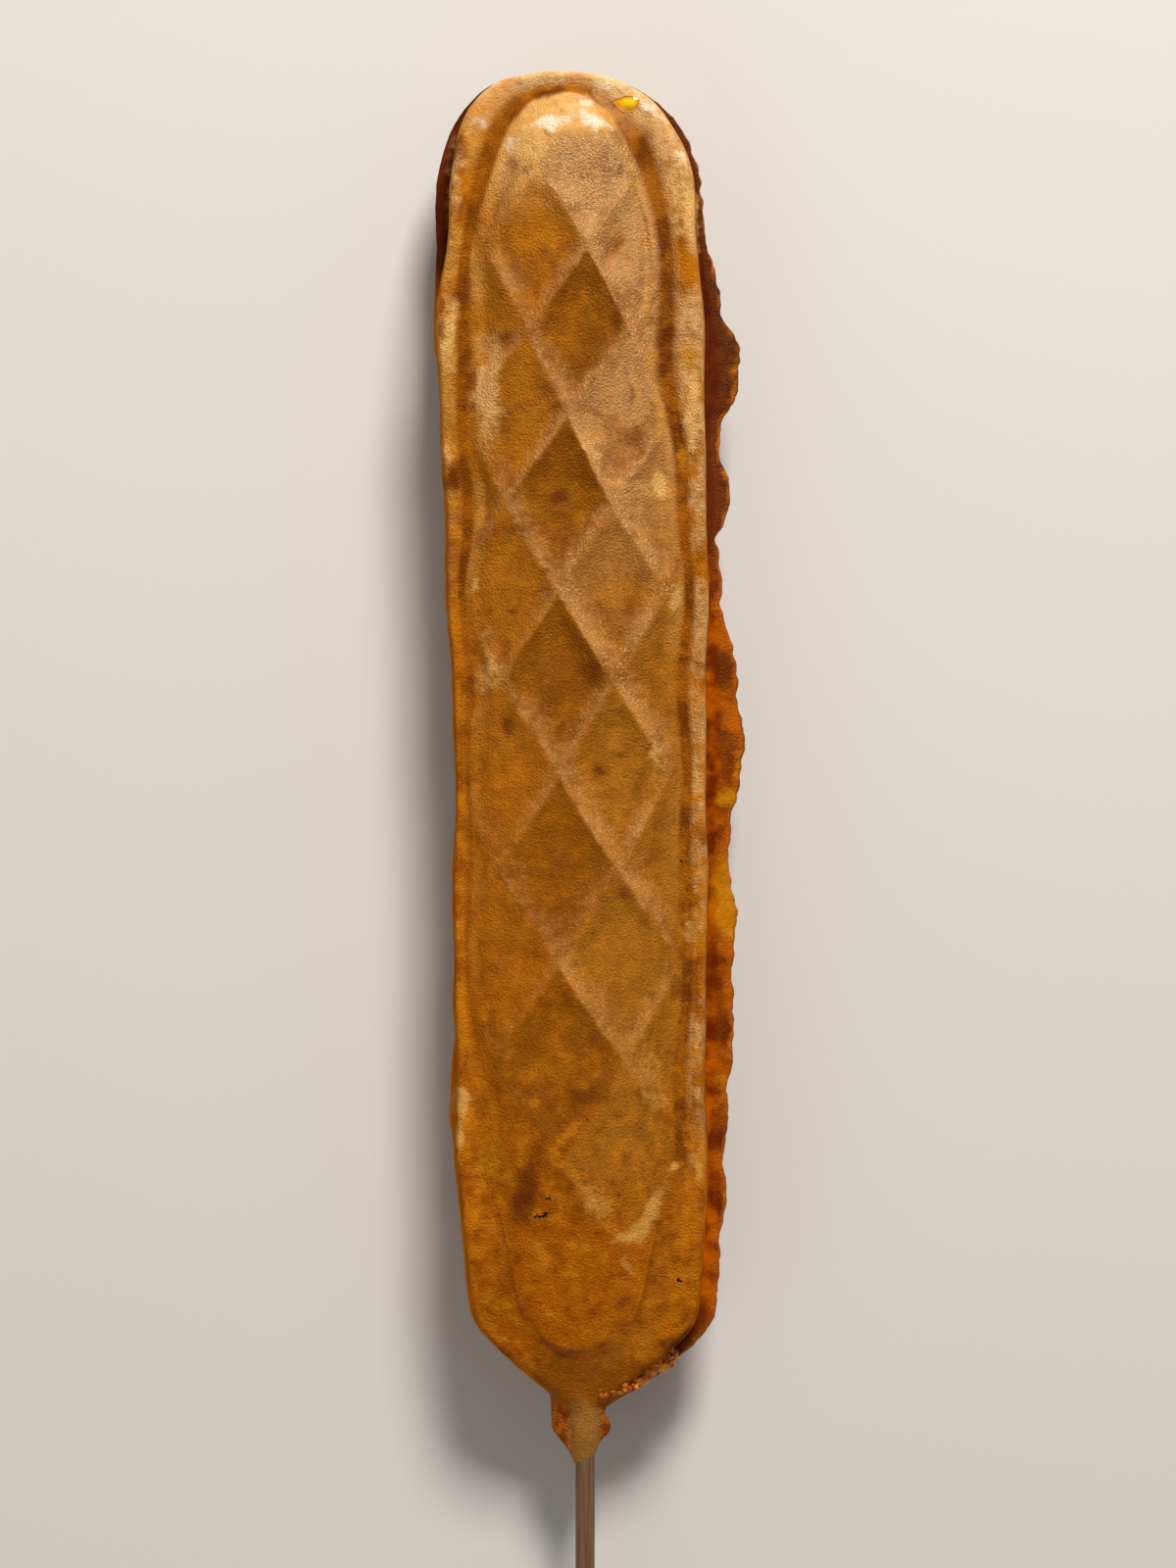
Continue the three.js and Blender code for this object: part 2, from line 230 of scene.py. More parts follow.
def bamboo_material():
    material, tree = material_tree("bamboo")
    place = Wire.add(tree, "ShaderNodeTexCoord", {}, {}, "Object").scaled(1.0 / MM)
    drawn_out = place.vector_math("MULTIPLY", (1.0, 0.035, 1.0))
    fibres = noise(drawn_out, 5.0, 4.0, 3.0)
    streaks = noise(drawn_out, 1.6, 2.0, 11.0)
    stains = noise(place, 0.16, 3.0, 23.0)
    straw = mix_colour(streaks.smooth(0.35, 0.7), rgb(126, 92, 56), rgb(98, 68, 38))
    grain = mix_colour(fibres.smooth(0.5, 0.72) * 0.6, straw, rgb(70, 46, 24))
    colour = mix_colour(stains.smooth(0.5, 0.8) * 0.5, grain, rgb(88, 56, 28))
    paint(tree, {
        "Base Color": colour, "Roughness": 0.5 + fibres * 0.25,
        "Normal": bump(fibres * 0.7 + streaks * 0.3, 0.5, 0.00015)})
    return material


def stick_tree(sizes):
    """A grid rolled up round the Y axis, drawn in to a point at each end."""
    tree, size = shape_tree("stick_shape", sizes)
    grid = Wire.add(tree, "GeometryNodeMeshGrid", {}, {
        "Size X": STICK_SIDES, "Size Y": STICK_STEPS,
        "Vertices X": STICK_SIDES + 1, "Vertices Y": STICK_STEPS + 1})
    place = Wire.add(tree, "GeometryNodeInputPosition")
    turn = place.part(0) * (-math.tau / STICK_SIDES)
    step = place.part(1) + STICK_STEPS / 2
    from_end = step.math("MINIMUM", STICK_STEPS - step)
    along = ((step - STICK_END_STEPS) / (STICK_STEPS - 2 * STICK_END_STEPS)).clamp()
    y = (along - 0.5) * size["Length"]
    ring = vector(tree, turn.math("COSINE"), y * PLANING_STRETCH, turn.math("SINE"))
    planed = (noise(ring, 3.0, 2.0, 5.0) - 0.5) * size["Planing"]
    bent = (y * BOW_TURN).math("SINE") * size["Bow"]
    cut = (from_end / STICK_END_STEPS).clamp() ** 0.4
    radius = (size["Radius"] + planed - size["Planing"] * 0.5) * cut
    rolled = vector(tree, radius * turn.math("COSINE") + bent, y, radius * turn.math("SINE"))
    placed = rolled.vector_math("MULTIPLY_ADD", (MM, MM, MM), tuple(stick_middle))
    shaped = Wire.add(tree, "GeometryNodeSetPosition", {}, {"Geometry": grid, "Position": placed})
    closed = Wire.add(tree, "GeometryNodeMergeByDistance", {}, {
        "Geometry": shaped, "Distance": WELD * MM})
    end_tree(closed, size["Material"])
    return tree


stick_sizes = {
    "Length": STICK_LENGTH,
    "Radius": STICK_RADIUS - 0.05,
    "Planing": 0.12,
    "Bow": 0.04,
    "Material": bamboo_material(),
}
stick = grow("bamboo_stick", stick_tree(stick_sizes), stick_sizes)
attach(stick, "root")
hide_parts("stick")

# ---------------------------------------------------------------- the waffle
# Batter poured round the sausage and baked between two plates: a raised band with a lattice of
# ridges, a groove, a bead-like rim, and at the parting line the flash that was squeezed out.
# Sizes are in millimetres in the iron's frame: X from the stick's axis, Y up from the waffle's
# lower end, Z from the parting plane.

waffle_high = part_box("waffle")[1]
WAFFLE_LENGTH = 198.2
THIN_FLASH = 0.5
iron_origin = Vector((
    stick_middle.x, waffle_high.y - (WAFFLE_LENGTH + THIN_FLASH) * MM, stick_middle.z))
REST_LEVEL = -stick_middle.z / MM
CREST_LEVEL = (waffle_high.z - stick_middle.z) / MM

# Outline and raised band: how far each side reaches, and its rounded ends.
LEFT_SIDE = {"reach": 19.5, "swell": 2.7, "swells": (90, 165), "taper": 2.2, "tapers": (8, 42)}
RIGHT_SIDE = {"reach": 18.3, "swell": -1.1, "swells": (140, 182), "taper": 0.8, "tapers": (8, 30)}
LEFT_BAND = {"reach": 16.8, "swell": -0.4, "swells": (150, 180), "taper": 6.0, "tapers": (5, 70)}
RIGHT_BAND = {"reach": 13.7, "swell": -3.7, "swells": (132, 155), "taper": 4.8, "tapers": (0, 60)}
WAFFLE_OUTLINE = {
    "left": LEFT_SIDE, "right": RIGHT_SIDE, "scallop": 0.0, "lean": -0.6,
    "tip": {"start": 177.5, "apex": WAFFLE_LENGTH, "roundness": 2.4, "corner": 0.0},
    "foot": {"start": 10.0, "apex": -3.6, "roundness": 1.12, "corner": 0.16}}
BAND_OUTLINE = {
    "left": LEFT_BAND, "right": RIGHT_BAND, "scallop": 0.5, "lean": 0.0,
    "tip": {"start": 165, "apex": 194.6, "roundness": 2.1, "corner": 0.0},
    "foot": {"start": 25, "apex": 5.5, "roundness": 2.3, "corner": 0.0}}
WOBBLE = 0.18

# The mesh: steps down each side and round each end, and rings over the band, the groove and rim,
# the outer wall and the flash. Its rows start and end at these counts of crossings, and the rim
# ends at that share of the way from the band to the body's edge.
SIDE_STEPS = 340
FOOT_STEPS = 80
TIP_STEPS = 90
UPPER_RINGS = (38, 16, 9, 9)
LOWER_RINGS = (17, 8, 6, 4)
FIRST_ROW = -0.5
LAST_ROW = 5.9
RIM_END = 0.88

# Where the flash on the right reaches further out: Y, extra reach and half length.
FLASH_LOBES = (
    (162, 0.8, 4.5), (153.3, 3.4, 6.5), (134, 1.7, 4.5), (112, 0.9, 3.5), (98.5, 3.5, 14.0),
    (61, 2.4, 21))

# The dribble's mesh, and how far it runs: from inside the waffle down the stick.
DRIBBLE_STEPS = 110
DRIBBLE_SIDES = 96
DRIBBLE_TOP = 6.0
DRIBBLE_END = -11.6

# Stains of the baking, and painted highlights among the pale ones: X, Y, half width, half length,
# turn in degrees and strength.
# Pale ones near the tip, which the crust turns near-white, and the two at the band's right edge
# near Y 136 are painted highlights.
PALE_STAINS_AND_HIGHLIGHTS = (
    (-5.2, 190.3, 2.6, 1.2, 15, 1.15), (0.9, 190.3, 2.6, 1.0, -15, 1.15),
    (-0.4, 193.1, 2.8, 1.2, 0, 0.7), (-11.3, 186.8, 1.3, 1.2, 0, 0.7),
    (2.9, 196.2, 2.4, 1.0, -15, 0.7), (10.0, 192.4, 2.2, 1.1, -40, 1.0),
    (14.4, 184.7, 1.3, 1.1, 0, 0.9), (15.8, 176.0, 1.3, 5.5, 0, 1.2),
    (16.3, 147.5, 1.1, 7.5, 0, 1.1), (-19.5, 180.5, 1.4, 6.0, -6, 0.6),
    (-15.6, 190.4, 2.0, 1.2, 30, 0.5), (-20.4, 158.5, 1.3, 7.0, 0, 0.9),
    (-20.7, 141.2, 1.0, 2.6, 0, 0.7), (-14.6, 150.2, 2.2, 8.0, -3, 1.1),
    (-14.7, 107.9, 1.3, 5.0, 0, 0.8), (-16.2, 120.9, 0.8, 2.2, 0, 0.6),
    (10.8, 135.9, 1.3, 2.0, 12, 1.3), (7.4, 135.4, 4.0, 1.8, 12, 0.6),
    (0.6, 141.4, 3.4, 0.8, -52, 0.7), (13.4, 118.8, 0.9, 2.4, 0, 0.8),
    (10.6, 95.1, 0.8, 2.3, 0, 0.9), (16.6, 91.6, 0.9, 3.6, 0, 0.8),
    (16.9, 78.7, 0.8, 4.5, 0, 0.6), (15.9, 68.4, 1.4, 4.2, 0, 0.7),
    (16.9, 52.6, 0.7, 4.2, 0, 0.7), (16.9, 44.6, 0.7, 1.4, 0, 0.7),
    (12.9, 34.1, 1.1, 0.6, 0, 1.0), (17.0, 33.8, 1.1, 3.2, 0, 0.9),
    (9.9, 27.4, 1.3, 4.6, -30, 1.2), (6.6, 23.6, 2.8, 1.0, 10, 0.75),
    (6.3, 18.8, 0.8, 1.8, 25, 0.7), (1.0, 29.0, 2.3, 5.2, 41, 0.5),
    (-18.5, 43.4, 1.4, 2.0, 0, 1.5), (-18.7, 38.5, 1.0, 1.7, 0, 1.2),
    (-12.3, 21.3, 2.0, 1.2, -30, 0.4), (16.3, 20.6, 1.5, 1.0, 0, 0.4),
    (2.5, 115.0, 2.2, 0.5, -55, 0.6), (4.0, 147.0, 2.4, 0.6, 45, 0.4),
    (10.4, 46.5, 2.2, 8.5, 12, 0.5), (13.4, 186.4, 1.2, 1.6, 20, 0.3),
)
DARK_STAINS = (
    (-5.4, 194.7, 3.0, 0.75, 12, 1.3), (9.3, 189.0, 2.2, 1.3, -40, 0.6),
    (11.6, 183.0, 1.4, 2.6, -10, 0.6), (12.4, 159.1, 1.5, 1.8, 0, 1.1),
    (-17.9, 166.3, 1.2, 2.8, 0, 0.8), (-9.9, 166.9, 2.6, 3.4, 0, 0.5),
    (-8.8, 183.1, 2.0, 0.8, 0, 0.4), (2.6, 171.3, 1.8, 3.0, 20, 0.5),
    (-3.5, 164.4, 2.4, 1.8, 0, 0.5), (1.9, 154.4, 2.6, 3.0, 0, 0.45),
    (6.5, 150.0, 0.9, 6.0, 0, 0.55), (-19.7, 136.6, 1.9, 2.3, 0, 1.2),
    (-20.0, 144.9, 1.4, 1.8, 0, 0.6), (-3.4, 134.3, 2.2, 1.7, 0, 0.95),
    (-9.4, 129.3, 1.4, 0.9, 0, 0.7), (-5.4, 122.8, 1.1, 0.9, -35, 0.9),
    (-10.6, 117.4, 0.8, 0.8, 0, 1.0), (6.8, 128.5, 1.1, 1.0, 0, 0.8),
    (-11.5, 111.8, 1.2, 0.8, 0, 0.5), (-17.4, 111.2, 0.8, 1.3, 0, 0.8),
    (-2.5, 105.9, 5.5, 3.4, 0, 0.6), (1.2, 108.4, 2.0, 2.0, 0, 0.4),
    (-11.5, 100.1, 1.3, 2.0, 0, 0.85), (3.1, 93.8, 2.8, 1.9, 0, 0.45),
    (5.1, 95.9, 1.1, 0.9, 0, 0.7), (2.2, 92.9, 1.2, 0.7, 0, 0.7),
    (-5.3, 84.1, 3.0, 2.0, 0, 0.4), (5.7, 74.7, 2.2, 1.6, 0, 0.75),
    (10.4, 59.7, 1.8, 1.4, 0, 0.65), (-2.4, 58.7, 1.1, 1.0, 0, 0.8),
    (3.8, 57.4, 0.9, 1.6, 0, 0.5), (-5.4, 51.3, 5.0, 2.6, 0, 0.5),
    (0.6, 44.8, 3.6, 2.2, 0, 0.95), (-3.0, 41.0, 4.5, 2.4, 0, 0.4),
    (7.9, 40.4, 1.5, 3.0, 0, 0.4), (4.1, 34.4, 2.0, 2.4, 0, 0.4),
    (-8.4, 30.6, 2.6, 5.2, -20, 0.95), (-9.7, 27.6, 2.0, 2.4, 0, 0.5),
    (5.1, 29.9, 1.4, 1.6, 0, 0.45), (-3.4, 9.0, 2.2, 1.1, 0, 0.6),
    (6.3, 13.7, 1.2, 1.0, 0, 0.6), (11.8, 7.6, 1.5, 1.2, 0, 0.7),
    (-13.8, 17.4, 3.0, 1.1, -38, 0.45), (-17.6, 49.3, 1.6, 4.2, 0, 0.5),
    (14.7, 59.7, 1.4, 2.2, 0, 0.3), (15.4, 7.6, 4.6, 1.6, 42, 1.6),
    (20.6, 57.0, 1.6, 5.0, 0, 0.8), (20.2, 39.5, 1.6, 4.0, 0, 0.9),
    (20.6, 108.5, 1.8, 4.5, 15, 1.0), (21.0, 97.5, 2.6, 2.4, 0, 0.8),
)
GOLDEN_STAINS = (
    (14.4, 140.2, 1.1, 2.6, 0, 1.0), (8.5, 128.5, 0.8, 1.8, 20, 0.7),
    (16.8, 103.7, 1.1, 5.2, 0, 0.7), (15.4, 155.1, 2.0, 3.0, 0, 0.9),
    (-19.4, 118.4, 1.0, 2.8, 0, 0.6), (-19.0, 105.0, 1.1, 2.4, 0, 0.7),
    (-12.6, 173.0, 3.0, 4.5, 20, 0.45), (-14.4, 36.5, 2.6, 7.5, 4, 0.6),
    (12.0, 65.4, 1.2, 2.4, 0, 0.6),
    (15.6, 17.2, 2.2, 2.6, 0, 0.5), (9.1, 30.3, 1.2, 2.4, 0, 0.5),
    (21.8, 89.0, 2.2, 2.0, 0, 1.2), (21.3, 74.0, 2.8, 7.5, 0, 1.2),
    (20.8, 46.8, 1.6, 1.4, 0, 0.9), (-5.0, 100.0, 6.0, 8.0, 0, 0.3),
    (-2.0, 20.0, 9.0, 9.0, 0, 0.4), (-9.0, 60.0, 4.0, 9.0, 0, 0.3),
    (-13.5, 13.5, 2.2, 4.0, 40, 0.5), (-15.0, 57.4, 1.4, 5.0, 0, 0.5),
    (-12.8, 76.5, 1.6, 3.0, 0, 0.5), (10.8, 48.0, 2.0, 9.0, 12, 0.5),
)
CHAR_SPECKS = (
    (-5.4, 29.4, 0.5, 0.35, 20, 1.0), (-7.0, 26.6, 0.8, 0.3, 5, 1.0),
    (-6.0, 26.8, 0.4, 0.4, 0, 0.9), (14.1, 16.9, 0.45, 0.4, 0, 1.0),
    (14.4, 79.7, 0.25, 0.2, 0, 0.9), (-15.0, 82.4, 0.2, 0.2, 0, 0.9),
    (-17.9, 49.3, 0.25, 0.2, 0, 0.9), (0.4, 41.2, 0.2, 0.25, 0, 0.9),
    (5.1, 29.9, 0.3, 0.2, 0, 0.9), (3.8, 24.6, 0.2, 0.2, 0, 0.9),
    (-0.7, 2.2, 0.25, 0.25, 0, 0.9),
)
EGG_SPOTS = (
    (6.4, 193.1, 1.2, 1.1, 0, 1.2), (7.5, 193.4, 0.8, 0.8, 0, 0.4),
    (4.8, 193.4, 0.9, 0.6, -10, 0.4),
)
STAIN_DRIFT = 3.2  # how far, in millimetres, a stain's edge wanders
SPECK_DRIFT = 1.6  # and the edge of a char speck

waffle_sizes = {
    "Crest height": CREST_LEVEL - 0.2,
    "Crown": 3.0,
    "Rim height": 10.0,
    "Groove height": 9.4,
    "Tip drop": 3.0,
    "Foot drop": 5.5,
    "Spout drop": 3.0,
    "First crossing": 171.0,
    "Row pitch": 24.7,
    "Row growth": 0.515,
    "Half diamond": 7.7,
    "Diamond spread": 0.1,
    "Pocket depth": 1.8,
    "Bevel depth": 1.7,
    "Flash thickness": 0.7,
    "Dribble skin": 0.5,
    "Dribble web": 0.8,
    "Lump height": 0.34,
    "Seed": 4.0,
}


def side_reach(side, y):
    swell = y.smooth(*side["swells"]) * side["swell"]
    return swell + side["reach"] - side["taper"] * (1.0 - y.smooth(*side["tapers"]))


def end_share(end, y):
    way = (y - end["start"]) / (end["apex"] - end["start"])
    whole = 1.0 + math.sqrt(1.0 + end["corner"] ** 2)
    way = ((way + (way * way + end["corner"] ** 2).math("SQRT")) / whole).clamp()
    return (1.0 - way ** end["roundness"]).math("MAXIMUM", 0.0) ** (1.0 / end["roundness"])


def end_height(end, hub, turn):
    """Y on a rounded end, from the hub's height at turn 0 over the apex and back at turn 1."""
    way = (hub - end["start"]) / (end["apex"] - end["start"])
    start = math.asin(way ** (end["roundness"] / 2))
    sine = (turn * (math.pi - 2 * start) + start).math("SINE")
    return sine ** (2 / end["roundness"]) * (end["apex"] - end["start"]) + end["start"]


def row_at(y, size):
    under = size["Row pitch"] ** 2 + 4.0 * size["Row growth"] * (size["First crossing"] - y)
    return (under.math("SQRT") - size["Row pitch"]) / (2.0 * size["Row growth"])


def row_height(row, size):
    return size["First crossing"] - size["Row pitch"] * row - size["Row growth"] * row ** 2


def axis_x(row):
    return row.smooth(-0.4, 1.8) * -4.8 + 0.8


def wobble(y):
    return ((y / 7.1 + 0.8).math("SINE") + (y / 3.3).math("SINE") * 0.6) * WOBBLE


def edge_x(outline, y, side, size):
    scallop = (row_at(y, size) * math.tau).math("COSINE") * outline["scallop"]
    left = wobble(y) - side_reach(outline["left"], y) - scallop
    right = wobble(y + WAFFLE_LENGTH) + side_reach(outline["right"], y) + scallop
    share = end_share(outline["tip"], y) * end_share(outline["foot"], y)
    lean = y.smooth(184, 194) + y.smooth(193.5, 197)
    middle = (left + right) / 2.0 + lean * outline["lean"]
    return middle + side * share * (right - left) / 2.0


def end_drop(y, size):
    tip = y.smooth(165, WAFFLE_LENGTH) ** 1.5 * size["Tip drop"]
    foot = (1.0 - y.smooth(-3, 40)) ** 2 * size["Foot drop"]
    return tip + foot + y.smooth(8, -5) * size["Spout drop"]


def lattice(x, y, warp, size):
    """The pocket's share, 0 on a ridge and 1 on a floor; its column, -1, 0 or 1; how far down it
    a point lies; and how far up the walls at its lower and its upper corner."""
    row = row_at(y, size)
    half = size["Half diamond"] + size["Diamond spread"] * row * row
    across = (x - axis_x(row)) / half + warp.part(0)
    down = row * 2.0 + warp.part(1)
    rising = across + down
    falling = across - down
    low_wall_share = warp.part(2) * 1.2 + 0.4
    share = 1.0
    column = 0.0
    fall = 0.5
    low_walls = []
    high_walls = []
    for line, downward, width in ((rising, -1.0, 1.0), (falling, 1.0, 1.4)):
        nearest = (line / 2.0).math("ROUND") * 2.0
        offset = line - nearest
        below = (offset * downward).smooth(-0.06, 0.06)
        wall_share = low_wall_share * between(1.45, width, below)
        from_ridge = ((offset * offset + 0.0025).math("SQRT") - 0.05) / wall_share
        left_over = 1.0 - from_ridge.clamp()
        share = (1.0 - left_over * left_over) * share
        cell = (line / 2.0).math("FLOOR")
        column = cell + 0.5 + column
        fall = (cell - line / 2.0) * downward * 0.5 + fall
        low_walls.append(left_over * below)
        high_walls.append(left_over * (1.0 - below))
    near_corner = between(0.65, 1.0, fall.smooth(0.5, 0.9))
    lower = (low_walls[0] * near_corner).math("MAXIMUM", low_walls[1])
    upper = high_walls[0].math("MAXIMUM", high_walls[1])
    return share, column, fall, lower, upper


def flash_reach(y, right_share):
    reach = between(2.2, 1.5, y.smooth(28, 50)) * y.smooth(181, 168) - y.smooth(11, 2) * 0.7
    left_lobe = (-(((y - 45) / 6) ** 4)).math("EXPONENT") * (1.0 - right_share) * 0.8
    for at, extent, span in FLASH_LOBES:
        reach = reach + (-(((y - at) / span) ** 4)).math("EXPONENT") * extent
    return right_share * reach + left_lobe + THIN_FLASH * 0.7


def flash_inside(y, right_share):
    """How far inside the outline the flash starts: the body is narrower beside the tip."""
    left = y.smooth(160, 176) * y.smooth(197, 183) * 1.6
    right = y.smooth(160, 176) * y.smooth(198, 190) * 0.6
    return between(left, right, right_share)


def band_height(x, y, band, relief, right_share, size):
    """The raised band: crowned across, cut by its pockets and bevelled at the edge, and sinking
    to the rim's height towards the foot."""
    inner_y = y.clamp(BAND_OUTLINE["foot"]["start"], BAND_OUTLINE["tip"]["start"])
    left_x = edge_x(BAND_OUTLINE, inner_y, -1.0, size)
    right_x = edge_x(BAND_OUTLINE, inner_y, 1.0, size)
    across = (x * 2.0 - left_x - right_x) / (right_x - left_x)
    drop = end_drop(y, size)
    bevel_depth = size["Bevel depth"] * between(y.smooth(70, 130) * 0.5 + 0.5, 1.0, right_share)
    bevel = band.smooth(0.72, 1.06) * bevel_depth + y.smooth(187, 195) * 0.9
    crisp = size["Crest height"] - size["Crown"] * across * across - drop - relief - bevel
    faded = size["Rim height"] - drop + 0.75 - band ** 3 * 0.6 - relief * 0.5
    return between(crisp, faded, y.smooth(52, 4) * 0.9)


def rim_height(share, y, right_share, size):
    """The groove beside the band, and the rim outside it, rounded like a bead."""
    depth = (size["Rim height"] - size["Groove height"]) * between(0.15, 1.0, y.smooth(8, 62))
    depth = depth * between(y.smooth(90, 140) * 0.75 + 0.25, 1.0, right_share)
    depth = depth * between(1.0, 0.5, y.smooth(182, 192))
    groove_end = between(0.26, 0.34, right_share) + y.smooth(183, 193) * 0.08
    rim_start = between(0.56, 0.6, right_share)
    in_groove = 1.0 - share.smooth(groove_end, rim_start)
    low_z = size["Rim height"] - end_drop(y, size) - depth * in_groove
    bead = ((share - rim_start) / (0.98 - rim_start)).clamp() * math.pi
    return low_z + bead.math("SINE") * between(0.1, 0.3, y.smooth(10, 50))


def ring_shares(ring, face):
    """How far a ring has got over the band, the groove and rim, the outer wall and the flash."""
    shares = []
    upper_start = lower_start = 0
    for upper, lower in zip(UPPER_RINGS, LOWER_RINGS):
        start = between(lower_start, upper_start, face)
        shares.append(((ring - start) / between(lower, upper, face)).clamp())
        upper_start += upper
        lower_start += lower
    return shares


def stain_group(tree_kind):
    """A node group that adds one soft stain to a sum: strongest in its middle, fading outwards."""
    group = bpy.data.node_groups.new("stain", tree_kind)
    labels = {"Sum": "Float", "Place": "Vector", "Middle": "Vector", "Across": "Vector",
              "Along": "Vector", "Strength": "Float"}
    for label, kind in labels.items():
        group.interface.new_socket(label, in_out="INPUT", socket_type="NodeSocket" + kind)
    group.interface.new_socket("Sum", in_out="OUTPUT", socket_type="NodeSocketFloat")
    entry = group.nodes.new("NodeGroupInput")
    given = {label: Wire(group, entry.outputs[label]) for label in labels}
    from_middle = given["Place"].vector_math("SUBTRACT", given["Middle"])
    over = from_middle.dot(given["Across"])
    along = from_middle.dot(given["Along"])
    stain = (-(over * over + along * along)).math("EXPONENT") * given["Strength"]
    result = group.nodes.new("NodeGroupOutput")
    group.links.new((given["Sum"] + stain).socket, result.inputs["Sum"])
    return group


def stains(place, marks):
    """The sum of soft stains at a place."""
    tree_kind = place.tree.bl_idname
    group = stain_group(tree_kind)
    total = 0.0
    for x, y, half_width, half_length, turn, strength in marks:
        cosine = math.cos(math.radians(turn))
        sine = math.sin(math.radians(turn))
        total = Wire.add(place.tree, tree_kind.replace("Tree", "Group"), {"node_tree": group}, {
            "Sum": total, "Place": place, "Middle": (x, y, 0.0),
            "Across": (cosine / half_width, sine / half_width, 0.0),
            "Along": (-sine / half_length, cosine / half_length, 0.0), "Strength": strength})
    return total


def dribble(tree, size):
    """Batter that ran along the stick and baked there: a skin over the stick, and a thin web."""
    grid = Wire.add(tree, "GeometryNodeMeshGrid", {}, {
        "Size X": DRIBBLE_SIDES, "Size Y": DRIBBLE_STEPS,
        "Vertices X": DRIBBLE_SIDES + 1, "Vertices Y": DRIBBLE_STEPS + 1})
    place = Wire.add(tree, "GeometryNodeInputPosition")
    turn = place.part(0) * (-math.tau / DRIBBLE_SIDES)
    step = (place.part(1) + DRIBBLE_STEPS / 2) / DRIBBLE_STEPS
    y = between(DRIBBLE_END, DRIBBLE_TOP, step)
    ragged = (noise(vector(tree, turn.math("COSINE"), y, 2.0), 0.8, 3.0) - 0.5) * 0.6
    left = y.smooth(-11.5, -5.0) * -3.6 - y.smooth(-1.5, 4.0) * 3.0 - 1.6 - ragged
    lobe = (-(((y + 5.5) / 2.5) ** 2)).math("EXPONENT")
    right = y.smooth(-11.5, -8.5) * 0.3 + lobe * 2.4 + y.smooth(-0.9, 2.5) * 3.5 + 1.3 + ragged
    closing = (1.0 - (step * 2.0 - 1.0) ** 40).math("MAXIMUM", 0.0).math("SQRT")
    x = (left + right) / 2.0 + (right - left) / 2.0 * turn.math("COSINE") * closing
    skin = y.smooth(-11.5, -7.0) * (size["Dribble skin"] + 0.15) + y.smooth(-5.0, 3.0) * 1.3
    skin = skin + STICK_RADIUS - 0.15
    reach = between(2.2, 5.0, y.smooth(-5.0, 3.0))
    round_skin = (1.0 - ((x / reach).math("ABSOLUTE") ** 2.4).clamp()) ** 0.5 * skin
    web = size["Dribble web"] + y.smooth(-4.5, 0.5) * 1.9
    rounded = turn.math("SINE").math("ABSOLUTE") ** 0.6
    z = web.math("SMOOTH_MAX", round_skin, 0.6) * rounded * closing * turn.math("SINE").math("SIGN")
    shaped = Wire.add(tree, "GeometryNodeSetPosition", {}, {
        "Geometry": grid, "Position": vector(tree, x, y, z)})
    marked = Wire.add(tree, "GeometryNodeStoreNamedAttribute", {"data_type": "FLOAT"}, {
        "Geometry": shaped, "Name": "dribble", "Value": 1.0})
    return Wire.add(tree, "GeometryNodeMergeByDistance", {}, {
        "Geometry": marked, "Distance": WELD})


def stored(tree, name):
    settings = {"data_type": "FLOAT"}
    return Wire.add(tree, "GeometryNodeInputNamedAttribute", settings, {"Name": name})


def with_dribble(body, size):
    """The body joined to its dribble, with the corner between them filled."""
    tree = body.tree
    settings = {"operation": "UNION", "solver": "MANIFOLD"}
    joined = Wire.add(tree, "GeometryNodeMeshBoolean", settings)
    for shell in (body, dribble(tree, size)):
        tree.links.new(shell.socket, joined.socket.node.inputs["Mesh 2"])
    spot = Wire.add(tree, "GeometryNodeInputPosition")
    near_seam = spot.part(1).smooth(5.5, 2.0) * spot.part(1).smooth(-6.0, -3.5)
    near_seam = near_seam * spot.part(0).math("ABSOLUTE").smooth(10.0, 6.0)
    softened = Wire.add(tree, "GeometryNodeBlurAttribute", {"data_type": "FLOAT_VECTOR"}, {
        "Value": spot, "Iterations": 24, "Weight": near_seam})
    joined = Wire.add(tree, "GeometryNodeSetPosition", {}, {
        "Geometry": joined, "Position": softened})
    for name, reach in (("dribble", 20), ("flash", 14), ("wall", 14)):
        spread = Wire.add(tree, "GeometryNodeBlurAttribute", {"data_type": "FLOAT"}, {
            "Value": stored(tree, name), "Iterations": reach, "Weight": near_seam})
        joined = Wire.add(tree, "GeometryNodeStoreNamedAttribute", {"data_type": "FLOAT"}, {
            "Geometry": joined, "Name": name, "Value": spread})
    return joined


def with_lumps(body, size):
    """The lumps and crinkles of the baked batter, along the surface's own direction."""
    tree = body.tree
    point = Wire.add(tree, "GeometryNodeInputPosition")
    normal = Wire.add(tree, "GeometryNodeInputNormal")
    crinkled = stored(tree, "flash").smooth(0.0, 0.2)
    lumps = (noise(point, 0.09, 3.0, 13.0) - 0.5) * 1.5
    lumps = lumps + (noise(point, 0.4, 3.0, 17.0) - 0.5) * 0.4
    lumps = lumps + (noise(point, 0.5, 2.0, 19.0) - 0.5) * crinkled * 0.4
    lumps = lumps * size["Lump height"] + stored(tree, "egg") * 0.6
    return Wire.add(tree, "GeometryNodeSetPosition", {}, {
        "Geometry": body, "Offset": normal.scaled(lumps)})


